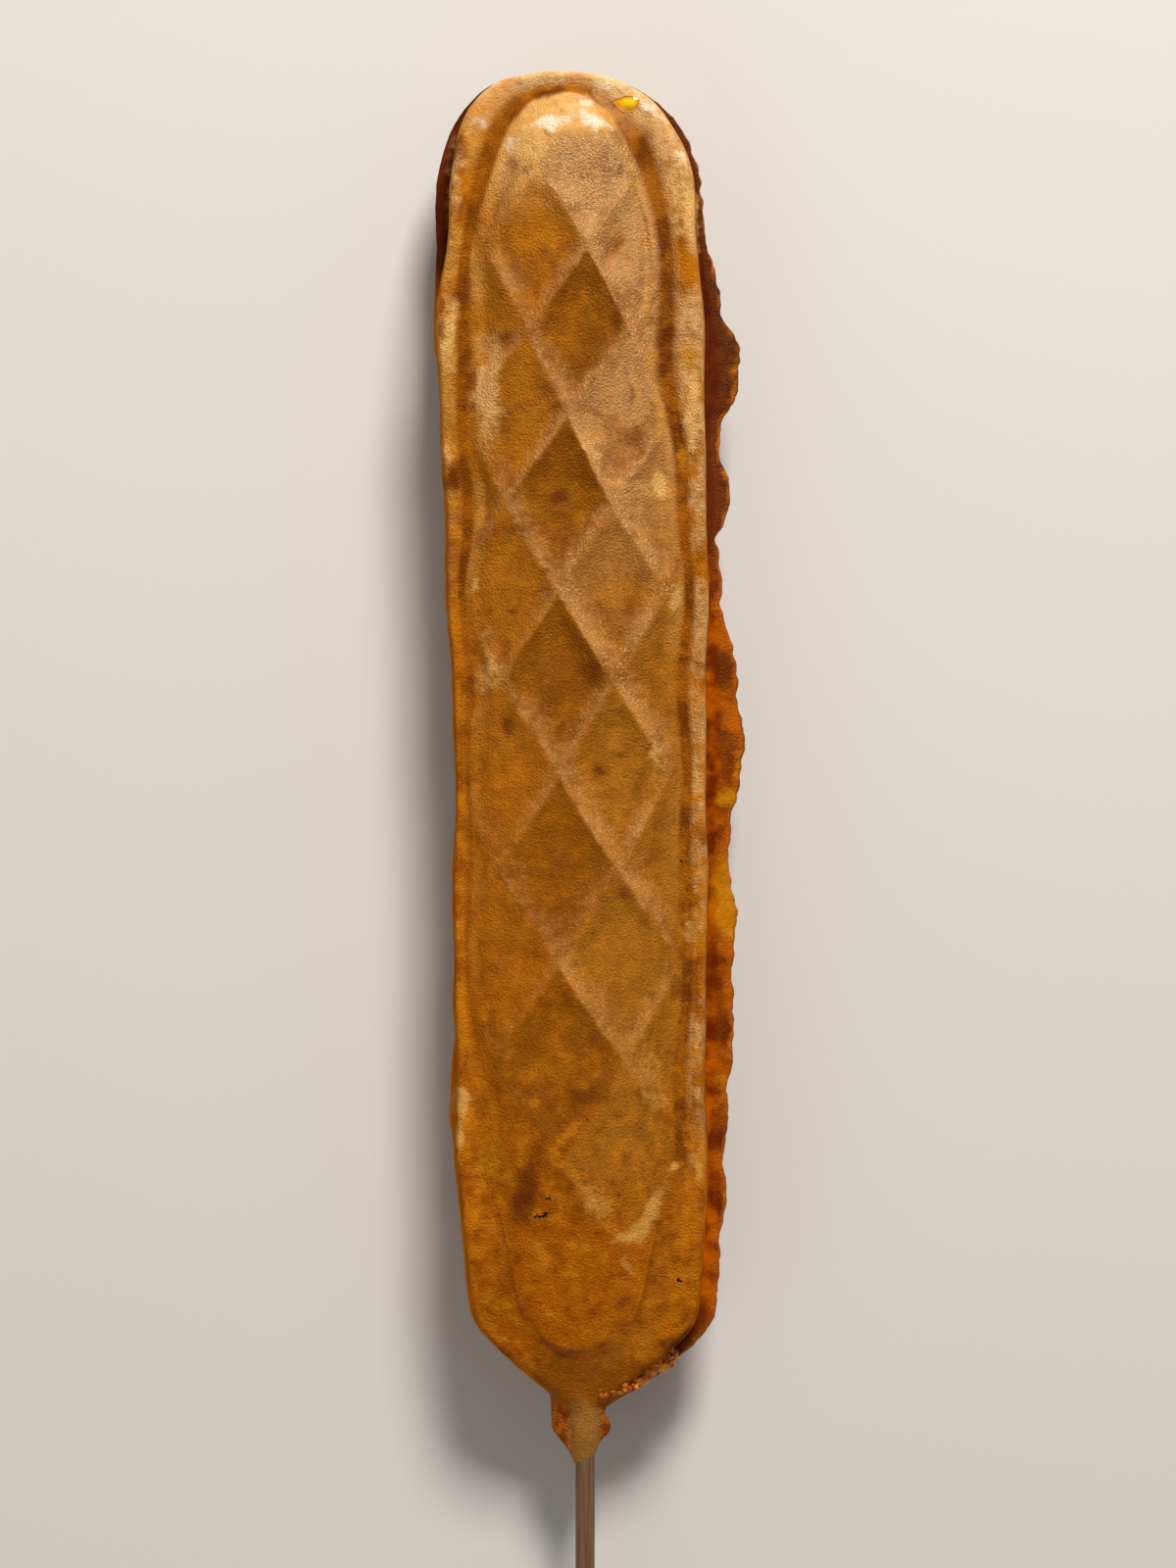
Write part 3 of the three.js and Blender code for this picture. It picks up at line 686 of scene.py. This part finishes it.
def waffle_tree(sizes):
    """A grid laid round the waffle: one way along its outline, the other way from the middle of
    the shown face out to the flash, and back underneath. Its dribble is joined to it."""
    tree, size = shape_tree("waffle_shape", sizes)
    stations = 2 * SIDE_STEPS + FOOT_STEPS + TIP_STEPS
    rings = sum(UPPER_RINGS) + sum(LOWER_RINGS)
    grid = Wire.add(tree, "GeometryNodeMeshGrid", {}, {
        "Size X": stations, "Size Y": rings, "Vertices X": stations + 1, "Vertices Y": rings + 1})
    place = Wire.add(tree, "GeometryNodeInputPosition")
    station = place.part(0) + stations / 2
    ring_number = place.part(1) + rings / 2

    # Where the station lies on its way down the right side, round the foot, up and over the tip.
    down = (station / SIDE_STEPS).clamp()
    foot_turn = ((station - SIDE_STEPS) / FOOT_STEPS).clamp()
    up = ((station - SIDE_STEPS - FOOT_STEPS) / SIDE_STEPS).clamp()
    tip_turn = ((station - 2 * SIDE_STEPS - FOOT_STEPS) / TIP_STEPS).clamp()
    leftness = foot_turn - tip_turn
    side = (0.5 - leftness).math("SIGN")
    right_share = ((leftness * math.pi).math("COSINE") + 1.0) / 2.0
    row = between(FIRST_ROW, LAST_ROW, down - up)
    hub_y = row_height(row, size)
    hub_x = axis_x(row)

    def edge_of(outline):
        tip_hub = row_height(FIRST_ROW, sizes)
        foot_hub = row_height(LAST_ROW, sizes)
        over_tip = end_height(outline["tip"], tip_hub, 1.0 - tip_turn) - tip_hub
        over_foot = end_height(outline["foot"], foot_hub, foot_turn) - foot_hub
        y = hub_y + over_tip + over_foot
        return edge_x(outline, y, side, size), y

    # Upper face first, then the lower one back to the middle.
    upper_rings = sum(UPPER_RINGS)
    face = (upper_rings + 0.5 - ring_number).math("GREATER_THAN", 0.0)
    ring = between(rings - ring_number, ring_number, face)
    band, rim, wall, flash = ring_shares(ring, face)

    band_x, band_y = edge_of(BAND_OUTLINE)
    outer_x, outer_y = edge_of(WAFFLE_OUTLINE)
    out_x = outer_x - hub_x
    out_y = outer_y - hub_y
    out_length = (out_x * out_x + out_y * out_y).math("SQRT")
    out_x = out_x / out_length
    out_y = out_y / out_length
    inside = flash_inside(outer_y, right_share)
    body_x = outer_x - out_x * inside
    body_y = outer_y - out_y * inside
    quarter = wall * (math.pi / 2)
    share = rim * RIM_END + quarter.math("SINE") ** 0.8 * (1 - RIM_END)
    edge_place = vector(tree, out_x * 3.0, outer_y, size["Seed"])
    knobs = (noise(edge_place, 0.17, 2.0) - 0.5) * 2.6 + (noise(edge_place, 0.7, 3.0) - 0.5) * 0.7
    knobs = knobs * flash ** 3 * (right_share * 0.9 + 0.2)
    reach = (flash_reach(outer_y, right_share) + inside) * flash + knobs
    x = hub_x + (band_x - hub_x) * band + (body_x - band_x) * share + out_x * reach
    y = hub_y + (band_y - hub_y) * band + (body_y - band_y) * share + out_y * reach

    # Heights of one face, from the parting plane.
    flat_place = vector(tree, x, y, size["Seed"] + face * 40.0)
    warp = drift(flat_place, 0.055, 2.0, 7.0).vector_math("MULTIPLY", (0.14, 0.1, 0.16))
    pocket, column, fall, lower, upper = lattice(x, y, warp, size)
    border = band.smooth(1.0, 0.88) * y.smooth(189.0, 178.0)
    ridge_height = noise(flat_place, 0.11, 2.0, 51.0) * 0.9 + 0.5
    worn = y.smooth(15, 62) * 0.5 + y.smooth(60, 150) * 0.42 + 0.08
    worn = worn * between(0.65, 1.0, x.smooth(-11, 0)) * ridge_height
    relief = pocket * border * size["Pocket depth"] * worn
    band_z = band_height(x, y, band, relief, right_share, size)
    low_z = rim_height(share, y, right_share, size)
    wall_foot = between(y.smooth(130, 80) * 0.33 + 0.22, 0.26, right_share)
    face_z = between(band_z, low_z, share.smooth(0.0, wall_foot))
    root = size["Flash thickness"]
    wall_z = root + (face_z - root) * quarter.math("COSINE") ** 0.7
    lip = (1.0 - flash ** 5).math("MAXIMUM", 0.0).math("SQRT")
    z = wall_z * between(1.0, 0.55, flash) * lip
    wave = (noise(edge_place, 0.1, 3.0, 31.0) - 0.5) * 2.4 * flash * right_share
    signed_z = z * (face * 2.0 - 1.0) + wave

    # What the material needs to know about each point of the surface.
    turned_over = vector(tree, x * (face * 2.0 - 1.0), between(200.0 - y, y, face), 0.0)
    ragged_edge = (STAIN_DRIFT, STAIN_DRIFT, 0.0)
    stain_place = drift(flat_place, 0.3, 2.0, 61.0).vector_math(
        "MULTIPLY_ADD", ragged_edge, turned_over)
    # The material paints the walls at a pocket's lower corner paler and glinting as painted light,
    # and those at its upper corner darker as painted shade.
    kept_crisp = between(worn * 0.85, worn * 0.65 + 0.35, column.clamp())
    kept = {
        "band": band, "rim": share, "wall": wall, "flash": flash, "right": right_share,
        "column": column, "fall": fall, "lower": lower * border * kept_crisp,
        "upper": upper * border * worn, "pale": stains(stain_place, PALE_STAINS_AND_HIGHLIGHTS),
        "dark": stains(stain_place, DARK_STAINS), "golden": stains(stain_place, GOLDEN_STAINS),
        "egg": stains(turned_over, EGG_SPOTS)}
    marked = grid
    for name, value in kept.items():
        marked = Wire.add(tree, "GeometryNodeStoreNamedAttribute", {"data_type": "FLOAT"}, {
            "Geometry": marked, "Name": name, "Value": value})
    shaped = Wire.add(tree, "GeometryNodeSetPosition", {}, {
        "Geometry": marked, "Position": vector(tree, x, y, signed_z)})
    closed = Wire.add(tree, "GeometryNodeMergeByDistance", {}, {
        "Geometry": shaped, "Distance": WELD})
    lumpy = with_lumps(with_dribble(closed, size), size)

    # Pressed flat underneath where it rests, then set in its place in metres.
    rough = Wire.add(tree, "GeometryNodeInputPosition")
    level = rough.part(2).clamp(REST_LEVEL, CREST_LEVEL)
    flat = vector(tree, rough.part(0), rough.part(1), level)
    placed = flat.vector_math("MULTIPLY_ADD", (MM, MM, MM), tuple(iron_origin))
    settled = Wire.add(tree, "GeometryNodeSetPosition", {}, {"Geometry": lumpy, "Position": placed})
    end_tree(settled, size["Material"])
    return tree


def iron_place(tree):
    """Where a point of the surface lies in the iron's frame, in millimetres."""
    place = Wire.add(tree, "ShaderNodeTexCoord", {}, {}, "Object")
    return place.vector_math("SUBTRACT", tuple(iron_origin)).vector_math("MULTIPLY", (1 / MM,) * 3)


def crust_skin(tree):
    """All that the crust's colour and gloss go by: where a point lies, what the shape stored
    there, and noise of several sizes, from broad patches down to the single grain."""
    place = iron_place(tree)
    skin = SimpleNamespace(place=place, x=place.part(0), y=place.part(1))
    for name in (
            "band", "rim", "wall", "flash", "right", "column", "fall", "lower", "upper", "pale",
            "dark", "golden", "egg", "dribble"):
        stored_value = Wire.add(tree, "ShaderNodeAttribute", {"attribute_name": name}, {}, "Fac")
        setattr(skin, name, stored_value)
    skin.broad = noise(place, 0.07, 3.0, 3.0)
    skin.patch = noise(place, 0.13, 5.0, 27.0)
    skin.blotch = noise(place, 0.2, 5.0, 9.0)
    skin.mottle = noise(place, 0.42, 4.0, 41.0)
    skin.fleck = noise(place, 0.75, 4.0, 15.0)
    skin.grain = noise(place, 3.2, 2.0, 21.0)
    skin.height_up = skin.y.smooth(10.0, 170.0)
    skin.on_band = 1.0 - skin.rim.smooth(0.0, 0.1)
    skin.middle = 1.0 - skin.column.math("ABSOLUTE").clamp()
    below_tip = skin.y.smooth(170.0, 174.0) * skin.y.smooth(190.0, 186.0)
    skin.grainy_top = below_tip * skin.middle * (1.0 - skin.upper.clamp())
    return skin


def pocket_colour(skin):
    """The band: each pocket browner towards its lower corner, with painted light on the walls
    there, which face the light, painted shade on the walls at its upper corner, and the right
    column painted paler, partly as painted light from the right.
    """
    left_floor = mix_colour(skin.height_up, rgb(172, 92, 2), rgb(184, 110, 22))
    # The right column's pockets are paler than the left ones, partly as painted light falling from
    # the right.
    right_floor_and_painted_light = mix_colour(skin.y.smooth(104.0, 166.0), rgb(170, 104, 24), rgb(212, 156, 94))
    side_floor = mix_colour(skin.column.clamp(), left_floor, right_floor_and_painted_light)
    middle_floor = mix_colour(skin.height_up, rgb(152, 82, 2), rgb(148, 86, 14))
    colour = mix_colour(skin.middle, side_floor, middle_floor)
    browner = (skin.fall + (skin.blotch - 0.5) * 1.4).smooth(0.45, 0.85)
    browner = browner * between(0.15, 0.6, skin.height_up)
    colour = mix_colour(browner, colour, rgb(130, 62, 16))
    # Cream over the band's rounded tip, partly painted highlight where its end faces the light.
    arch = (skin.y + (skin.blotch - 0.5) * 14.0).smooth(174.0, 187.0)
    arch = arch * skin.on_band * (1.0 - skin.grainy_top)
    colour = mix_colour(arch * 0.9, colour, rgb(238, 182, 106))
    colour = mix_colour(skin.grainy_top, colour, rgb(222, 166, 104))
    # Painted light: the walls at each pocket's lower corner face the light and are painted paler.
    painted_lit_wall = mix_colour(skin.height_up, rgb(206, 140, 66), rgb(212, 152, 88))
    painted_lit_mask = skin.lower + (skin.blotch - 0.5) * 0.9 + (skin.fleck - 0.5) * 0.5
    painted_lit_share = skin.patch.smooth(0.3, 0.5) * skin.y.smooth(38.0, 60.0) * 0.62
    colour = mix_colour(painted_lit_mask.smooth(0.02, 0.7) * skin.on_band * painted_lit_share, colour, painted_lit_wall)
    # Painted shade: the walls at each pocket's upper corner, turned from the light, are painted
    # darker.
    shaded = skin.upper.smooth(0.3, 0.9) * skin.on_band * 0.1
    colour = mix_colour(shaded, colour, rgb(104, 50, 2))
    colour = mix_colour(skin.broad.smooth(0.5, 0.64) * 0.4, colour, rgb(186, 108, 12))
    return mix_colour(skin.blotch.smooth(0.54, 0.72) * 0.5, colour, rgb(120, 58, 2))


def rim_colour(skin, colour):
    """The bevel, groove and rim round the band: the rim palest where it stood proud, and cream
    round the tip, where its near-white is partly a painted highlight."""
    bevel = skin.band.smooth(0.84, 0.98) * (1.0 - skin.rim.smooth(0.0, 0.15))
    bevel_share = bevel * skin.patch.smooth(0.4, 0.56) * skin.height_up * 0.8
    bevel_colour = mix_colour(skin.height_up, rgb(170, 98, 12), rgb(214, 150, 70))
    colour = mix_colour(bevel_share, colour, bevel_colour)
    groove = skin.rim.smooth(0.02, 0.2) * (1.0 - skin.rim.smooth(0.36, 0.6))
    groove_colour = mix_colour(skin.blotch.smooth(0.4, 0.6), rgb(160, 86, 6), rgb(112, 52, 0))
    groove_share = between(skin.y.smooth(60.0, 130.0) * 0.65 + 0.2, 0.95, skin.right)
    groove_share = groove_share * skin.y.smooth(4.0, 40.0)
    groove_share = groove_share * between(1.0, 0.3, skin.y.smooth(186.0, 194.0))
    colour = mix_colour(groove * groove_share, colour, groove_colour)

    off_wall = 1.0 - skin.wall.smooth(0.3, 0.9)
    golden_bead = mix_colour(skin.blotch.smooth(0.4, 0.62), rgb(196, 114, 10), rgb(150, 74, 2))
    creamy = mix_colour(skin.right, rgb(212, 152, 66), rgb(224, 180, 122))
    pale_bead = mix_colour(skin.fleck.smooth(0.3, 0.7), rgb(204, 144, 64), creamy)
    pale_share = between(skin.y.smooth(105.0, 160.0) * 0.8, 1.0, skin.right)
    pale_share = pale_share * skin.patch.smooth(0.4, 0.54) * skin.y.smooth(22.0, 60.0)
    unmottled = between(skin.mottle.smooth(0.35, 0.6) * 0.8, 1.0, skin.y.smooth(80.0, 130.0))
    bead_colour = mix_colour(pale_share * unmottled * 0.9, golden_bead, pale_bead)
    colour = mix_colour(skin.rim.smooth(0.36, 0.62) * off_wall, colour, bead_colour)
    # Partly painted highlight: the rim round the tip is painted cream to near-white where it faces
    # the light.
    tip_rim = skin.y.smooth(188.0, 194.0) * skin.rim.smooth(0.3, 0.6) * off_wall
    rim_cream_and_highlight = mix_colour(skin.blotch.smooth(0.3, 0.7), rgb(255, 220, 160), rgb(222, 150, 74))
    return mix_colour(tip_rim * 0.9, colour, rim_cream_and_highlight)


def foot_colour(skin, colour):
    """The end towards the stick, where the pattern is faint: orange and mottled brown."""
    foot_share = skin.y.smooth(42.0, 14.0) * between(0.4, 0.7, skin.on_band)
    colour = mix_colour(foot_share, colour, rgb(204, 106, 0))
    foot = skin.y.smooth(60.0, 25.0)
    browned = skin.mottle.smooth(0.5, 0.7) * between(0.25, 0.5, foot)
    colour = mix_colour(browned, colour, rgb(130, 52, 2))
    golden = skin.mottle.smooth(0.48, 0.32) * between(0.25, 0.7, foot)
    colour = mix_colour(golden, colour, rgb(208, 124, 16))
    foot_line = skin.rim.smooth(0.0, 0.05) * (1.0 - skin.rim.smooth(0.05, 0.16))
    foot_line = foot_line * skin.y.smooth(42.0, 20.0) * skin.blotch.smooth(0.36, 0.55)
    return mix_colour(foot_line * 0.5, colour, rgb(122, 52, 4))


def flash_colour(skin, colour):
    """The outer wall and the flash: golden at the left, browned at the right and crisp there, and
    red-brown at the left beside the tip, partly painted shade.
    """
    red_brown = mix_colour(skin.blotch.smooth(0.35, 0.65), rgb(78, 28, 10), rgb(106, 44, 14))
    orange = mix_colour(skin.blotch.smooth(0.38, 0.6), rgb(184, 90, 2), rgb(114, 40, 0))
    redder = (skin.y + (skin.blotch - 0.5) * 60.0).smooth(116.0, 138.0)
    # Beside the tip the left flash is painted red-brown as well, partly as painted shade.
    browned = skin.right.math("MAXIMUM", skin.y.smooth(158.0, 170.0))
    crust = mix_colour(browned, rgb(206, 122, 20), mix_colour(redder, orange, red_brown))
    on_flash = (skin.wall.smooth(0.55, 0.95) + skin.flash * 4.0).clamp()
    colour = mix_colour(on_flash, colour, crust)
    crisp_edge = (skin.flash + (skin.fleck - 0.5) * 0.6).smooth(0.72, 0.98)
    crisp_edge = crisp_edge * skin.blotch.smooth(0.42, 0.6) * skin.right
    return mix_colour(crisp_edge * 0.9, colour, rgb(204, 112, 20))


def dribble_colour(skin, colour):
    """The dribble: pale over the stick, and browned in the thin web beside it."""
    from_axis = skin.x.math("ABSOLUTE")
    web = (from_axis + (skin.fleck - 0.5) * 2.0).smooth(1.6, 3.2)
    web_colour = mix_colour(skin.fleck.smooth(0.4, 0.6), rgb(168, 84, 10), rgb(118, 48, 4))
    foot_middle = from_axis.smooth(9.0, 4.0) * skin.y.smooth(6.0, 1.0)
    colour = mix_colour(foot_middle, colour, rgb(166, 92, 8))
    on_stick = skin.dribble * skin.y.smooth(0.5, -4.0)
    return mix_colour(on_stick, colour, mix_colour(web, rgb(160, 108, 44), web_colour))


def stained_colour(skin, colour):
    """The stains of the baking, ragged at their edges, with painted highlights among the pale ones,
    the char specks and the drops of yolk.
    """
    off_wall = 1.0 - skin.wall.smooth(0.3, 0.7) * (1.0 - skin.flash.smooth(0.02, 0.1))
    ragged = (skin.fleck - 0.5) * 0.8 + (skin.blotch - 0.5) * 0.7
    # Pale stains turn near-white near the tip, where they are painted highlights.
    pale_and_highlight_colour = mix_colour(skin.height_up, rgb(224, 162, 72), rgb(244, 190, 112))
    pale_and_highlight_colour = mix_colour(skin.y.smooth(182.0, 188.0), pale_and_highlight_colour, rgb(255, 240, 210))
    for stain, low, high, strength, stain_colour in (
            (skin.golden, 0.25, 1.0, 0.85, rgb(204, 130, 10)),
            (skin.dark, 0.15, 1.15, 0.95, rgb(104, 44, 4)),
            (skin.pale, 0.2, 1.0, 0.85, pale_and_highlight_colour)):
        share = (stain + ragged).smooth(low, high) * off_wall * strength
        colour = mix_colour(share, colour, stain_colour)

    flat_place = skin.place.vector_math("MULTIPLY", (1.0, 1.0, 0.0))
    speck_place = drift(skin.place, 1.6, 3.0, 71.0).vector_math(
        "MULTIPLY_ADD", (SPECK_DRIFT, SPECK_DRIFT, 0.0), flat_place)
    charred = stains(speck_place, CHAR_SPECKS).smooth(0.4, 0.6)
    colour = mix_colour(charred * skin.place.part(2).smooth(0.0, 1.0), colour, rgb(30, 12, 4))
    yolk = mix_colour(skin.egg.smooth(0.4, 1.0), rgb(222, 140, 4), rgb(255, 204, 8))
    return mix_colour(egg_share(skin), colour, yolk)


def egg_share(skin):
    return (skin.egg + (skin.fleck - 0.5) * 0.2).smooth(0.3, 0.45)


def crust_material():
    """The baked crust: grainy, with a soft gloss where it was pressed, painted glints on its lit
    walls and grainy top, and dull at the wall.
    """
    material, tree = material_tree("crust")
    skin = crust_skin(tree)
    colour = pocket_colour(skin)
    for coat in (rim_colour, foot_colour, flash_colour, dribble_colour, stained_colour):
        colour = coat(skin, colour)
    y = skin.y
    near_tip = y.smooth(184.0, 190.0)
    shade = (skin.grain - 0.5) * between(0.8, 0.4, near_tip) + (skin.fleck - 0.5) * 0.45
    colour = colour.scaled(shade - (skin.mottle - 0.5) * 0.3 + 1.0)
    # Painted glints: pale flecks where the walls face the light and on the grainy top, standing in
    # for highlights.
    sparkle = skin.lower.clamp() * between(0.5, 1.0, skin.right) + skin.grainy_top * 1.2
    sparkle = sparkle.clamp() * between(0.6, 1.0, y.smooth(60.0, 140.0)) * y.smooth(38.0, 60.0)
    sparkle = sparkle * skin.on_band
    painted_glints = (skin.grain + (skin.fleck - 0.5) * 0.3).smooth(0.57, 0.68) * sparkle
    colour = mix_colour(painted_glints * 0.6, colour, rgb(255, 226, 170))

    egg = egg_share(skin)
    on_flash = skin.flash.smooth(0.0, 0.3)
    coarse = between(1.0, 1.7, y.smooth(60.0, 170.0)) * between(1.0, 0.6, near_tip)
    height = skin.grain * coarse * (1.0 + skin.grainy_top * 0.6) + skin.fleck * 0.4
    height = height + noise(skin.place, 0.45, 3.0, 33.0) * 0.3
    height = height * (1.0 - egg) * (1.0 - on_flash * 0.5)
    roughness = between(0.48 - sparkle * 0.2 - on_flash * 0.1 + skin.grain * 0.1, 0.1, egg)
    glossy = Wire.add(tree, "ShaderNodeBsdfPrincipled", {}, {
        "Base Color": colour, "Roughness": roughness, "Normal": bump(height, 0.8, 0.0004),
        "Coat Weight": egg * 0.8, "Specular IOR Level": 0.3,
        "Specular Tint": rgb(255, 198, 104)})
    dull = Wire.add(tree, "ShaderNodeBsdfDiffuse", {}, {"Color": colour})
    off_flash = 1.0 - skin.flash.smooth(0.3, 0.5) * skin.right
    dull_share = skin.wall.smooth(0.05, 0.3) * off_flash * (1.0 - egg)
    surface = Wire.add(tree, "ShaderNodeMixShader", {}, {0: dull_share, 1: glossy, 2: dull})
    Wire.add(tree, "ShaderNodeOutputMaterial", {}, {"Surface": surface})
    return material


waffle_sizes["Material"] = crust_material()
waffle = grow("baked_waffle", waffle_tree(waffle_sizes), waffle_sizes)
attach(waffle, "root")
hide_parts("waffle")

# ---------------------------------------------------------------- the froth
# Batter that foamed as it ran out between the plates at the lower right, and set there as a
# glossy crust of run-together bubbles with small holes, grown onto the flash.

FROTH_ACROSS = (2.0, 13.2)  # X and Y of its two ends in the iron's frame
FROTH_UP = (0.6, 6.2)
FROTH_LEVEL = 1.2  # its middle above the parting plane, and how far it reaches from there
FROTH_HALF_HEIGHT = 1.1
FROTH_DETAIL = 0.13  # the finest hollow between two bubbles

froth_sizes = {
    "Bubbles": 620.0,
    "Smallest": 0.3,
    "Largest": 0.75,
    "Spread": 1.6,
}


def random_vector(tree, low, high, seed):
    """A random point for each bubble, each of its three values between low and high."""
    values = {0: (low,) * 3, 1: (high,) * 3, "Seed": seed}
    return Wire.add(tree, "FunctionNodeRandomValue", {"data_type": "FLOAT_VECTOR"}, values)


def froth_tree(sizes):
    """Bubbles scattered along the edge of the flash, run together into one skin."""
    tree, size = shape_tree("froth_shape", sizes)
    along = random_vector(tree, 0.0, 1.0, 3)
    way = along.part(0)
    aside = random_vector(tree, -1.0, 1.0, 8)
    x = between(*FROTH_ACROSS, way) - aside.part(1) * way * 0.6
    y = between(*FROTH_UP, way ** 2.0) + aside.part(1) * size["Spread"]
    z = aside.part(2) * FROTH_HALF_HEIGHT + FROTH_LEVEL
    bubble = between(size["Smallest"], size["Largest"], along.part(1) ** 2)
    bubbles = Wire.add(tree, "GeometryNodePoints", {}, {
        "Count": size["Bubbles"], "Position": vector(tree, x, y, z), "Radius": bubble})
    radius = Wire.add(tree, "GeometryNodeInputRadius")
    foam = Wire.add(tree, "GeometryNodePointsToVolume", {"resolution_mode": "VOXEL_SIZE"}, {
        "Points": bubbles, "Voxel Size": FROTH_DETAIL, "Radius": radius})
    skin = Wire.add(tree, "GeometryNodeVolumeToMesh", {}, {"Volume": foam, "Threshold": 0.4})
    spot = Wire.add(tree, "GeometryNodeInputPosition")
    placed = spot.vector_math("MULTIPLY_ADD", (MM, MM, MM), tuple(iron_origin))
    settled = Wire.add(tree, "GeometryNodeSetPosition", {}, {"Geometry": skin, "Position": placed})
    end_tree(settled, size["Material"])
    return tree


def froth_material():
    material, tree = material_tree("froth")
    place = iron_place(tree)
    blotch = noise(place, 0.6, 3.0, 5.0)
    colour = mix_colour(blotch.smooth(0.4, 0.6), rgb(244, 158, 26), rgb(168, 76, 6))
    pitted = bump(noise(place, 2.5, 2.0, 9.0), 0.4, 0.0002)
    paint(tree, {
        "Base Color": colour, "Roughness": 0.26, "Specular IOR Level": 0.35, "Normal": pitted})
    return material


froth_sizes["Material"] = froth_material()
froth = grow("froth_crust", froth_tree(froth_sizes), froth_sizes)
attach(froth, "root")
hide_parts("waffle")

# ---------------------------------------------------------------- floor, lights and camera
# Not part of the waffle dog: a pale floor under it, soft studio light from beyond its tip, and
# a camera that looks straight down, as the photograph looks straight at the upright piece.

PHOTO_WIDTH = 1200
PHOTO_HEIGHT = 1600
PHOTO_SCALE = 6.8  # photograph pixels to the millimetre
PHOTO_ORIGIN = (597, 1420)  # where the iron's frame has its origin in the photograph
SENSOR = 36.0
LENS = 180.0
FACE_LEVEL = 20.0  # the millimetres above the floor where the photograph's scale holds

FLOOR_REACH = 2.0  # metres to each side

floor_mesh = bpy.data.meshes.new("floor")
floor_mesh.from_pydata(
    [(-FLOOR_REACH, -FLOOR_REACH, 0), (FLOOR_REACH, -FLOOR_REACH, 0),
     (FLOOR_REACH, FLOOR_REACH, 0), (-FLOOR_REACH, FLOOR_REACH, 0)], [], [(0, 1, 2, 3)])
floor = bpy.data.objects.new("floor", floor_mesh)
bpy.context.scene.collection.objects.link(floor)
floor_material, floor_tree = material_tree("floor_paper")
paint(floor_tree, {"Base Color": rgb(226, 223, 218), "Roughness": 0.9})
floor_mesh.materials.append(floor_material)


def area_light(name, place, target, size, power, colour):
    light = bpy.data.lights.new(name, "AREA")
    light.shape = "RECTANGLE"
    light.size, light.size_y = size
    light.energy = power
    light.color = colour
    holder = bpy.data.objects.new(name, light)
    holder.location = place
    holder.rotation_euler = (Vector(target) - Vector(place)).to_track_quat("-Z", "Y").to_euler()
    bpy.context.scene.collection.objects.link(holder)


area_light(
    "key_light", place=(0.2, 0.84, 0.78), target=(0.0, 0.03, 0.0), size=(0.3, 0.3),
    power=13.0, colour=(1.0, 0.97, 0.92))
area_light(
    "fill_light", place=(-0.5, -0.6, 0.9), target=(0.0, 0.0, 0.0), size=(0.8, 0.8),
    power=1.2, colour=(1.0, 0.98, 0.96))
world = bpy.data.worlds.new("studio")
world.use_nodes = True
surroundings = world.node_tree.nodes["Background"].inputs
surroundings["Color"].default_value = (1.0, 0.98, 0.96, 1.0)
surroundings["Strength"].default_value = 0.2
bpy.context.scene.world = world
bpy.context.scene.view_settings.view_transform = "Standard"

camera_data = bpy.data.cameras.new("camera")
camera_data.sensor_width = SENSOR
camera_data.lens = LENS
camera = bpy.data.objects.new("camera", camera_data)
middle_x = (PHOTO_WIDTH / 2 - PHOTO_ORIGIN[0]) / PHOTO_SCALE
middle_y = (PHOTO_ORIGIN[1] - PHOTO_HEIGHT / 2) / PHOTO_SCALE
frame_height = PHOTO_HEIGHT / PHOTO_SCALE * MM
camera.location = (
    iron_origin.x + middle_x * MM,
    iron_origin.y + middle_y * MM,
    FACE_LEVEL * MM + frame_height * LENS / SENSOR)
bpy.context.scene.collection.objects.link(camera)
bpy.context.scene.camera = camera
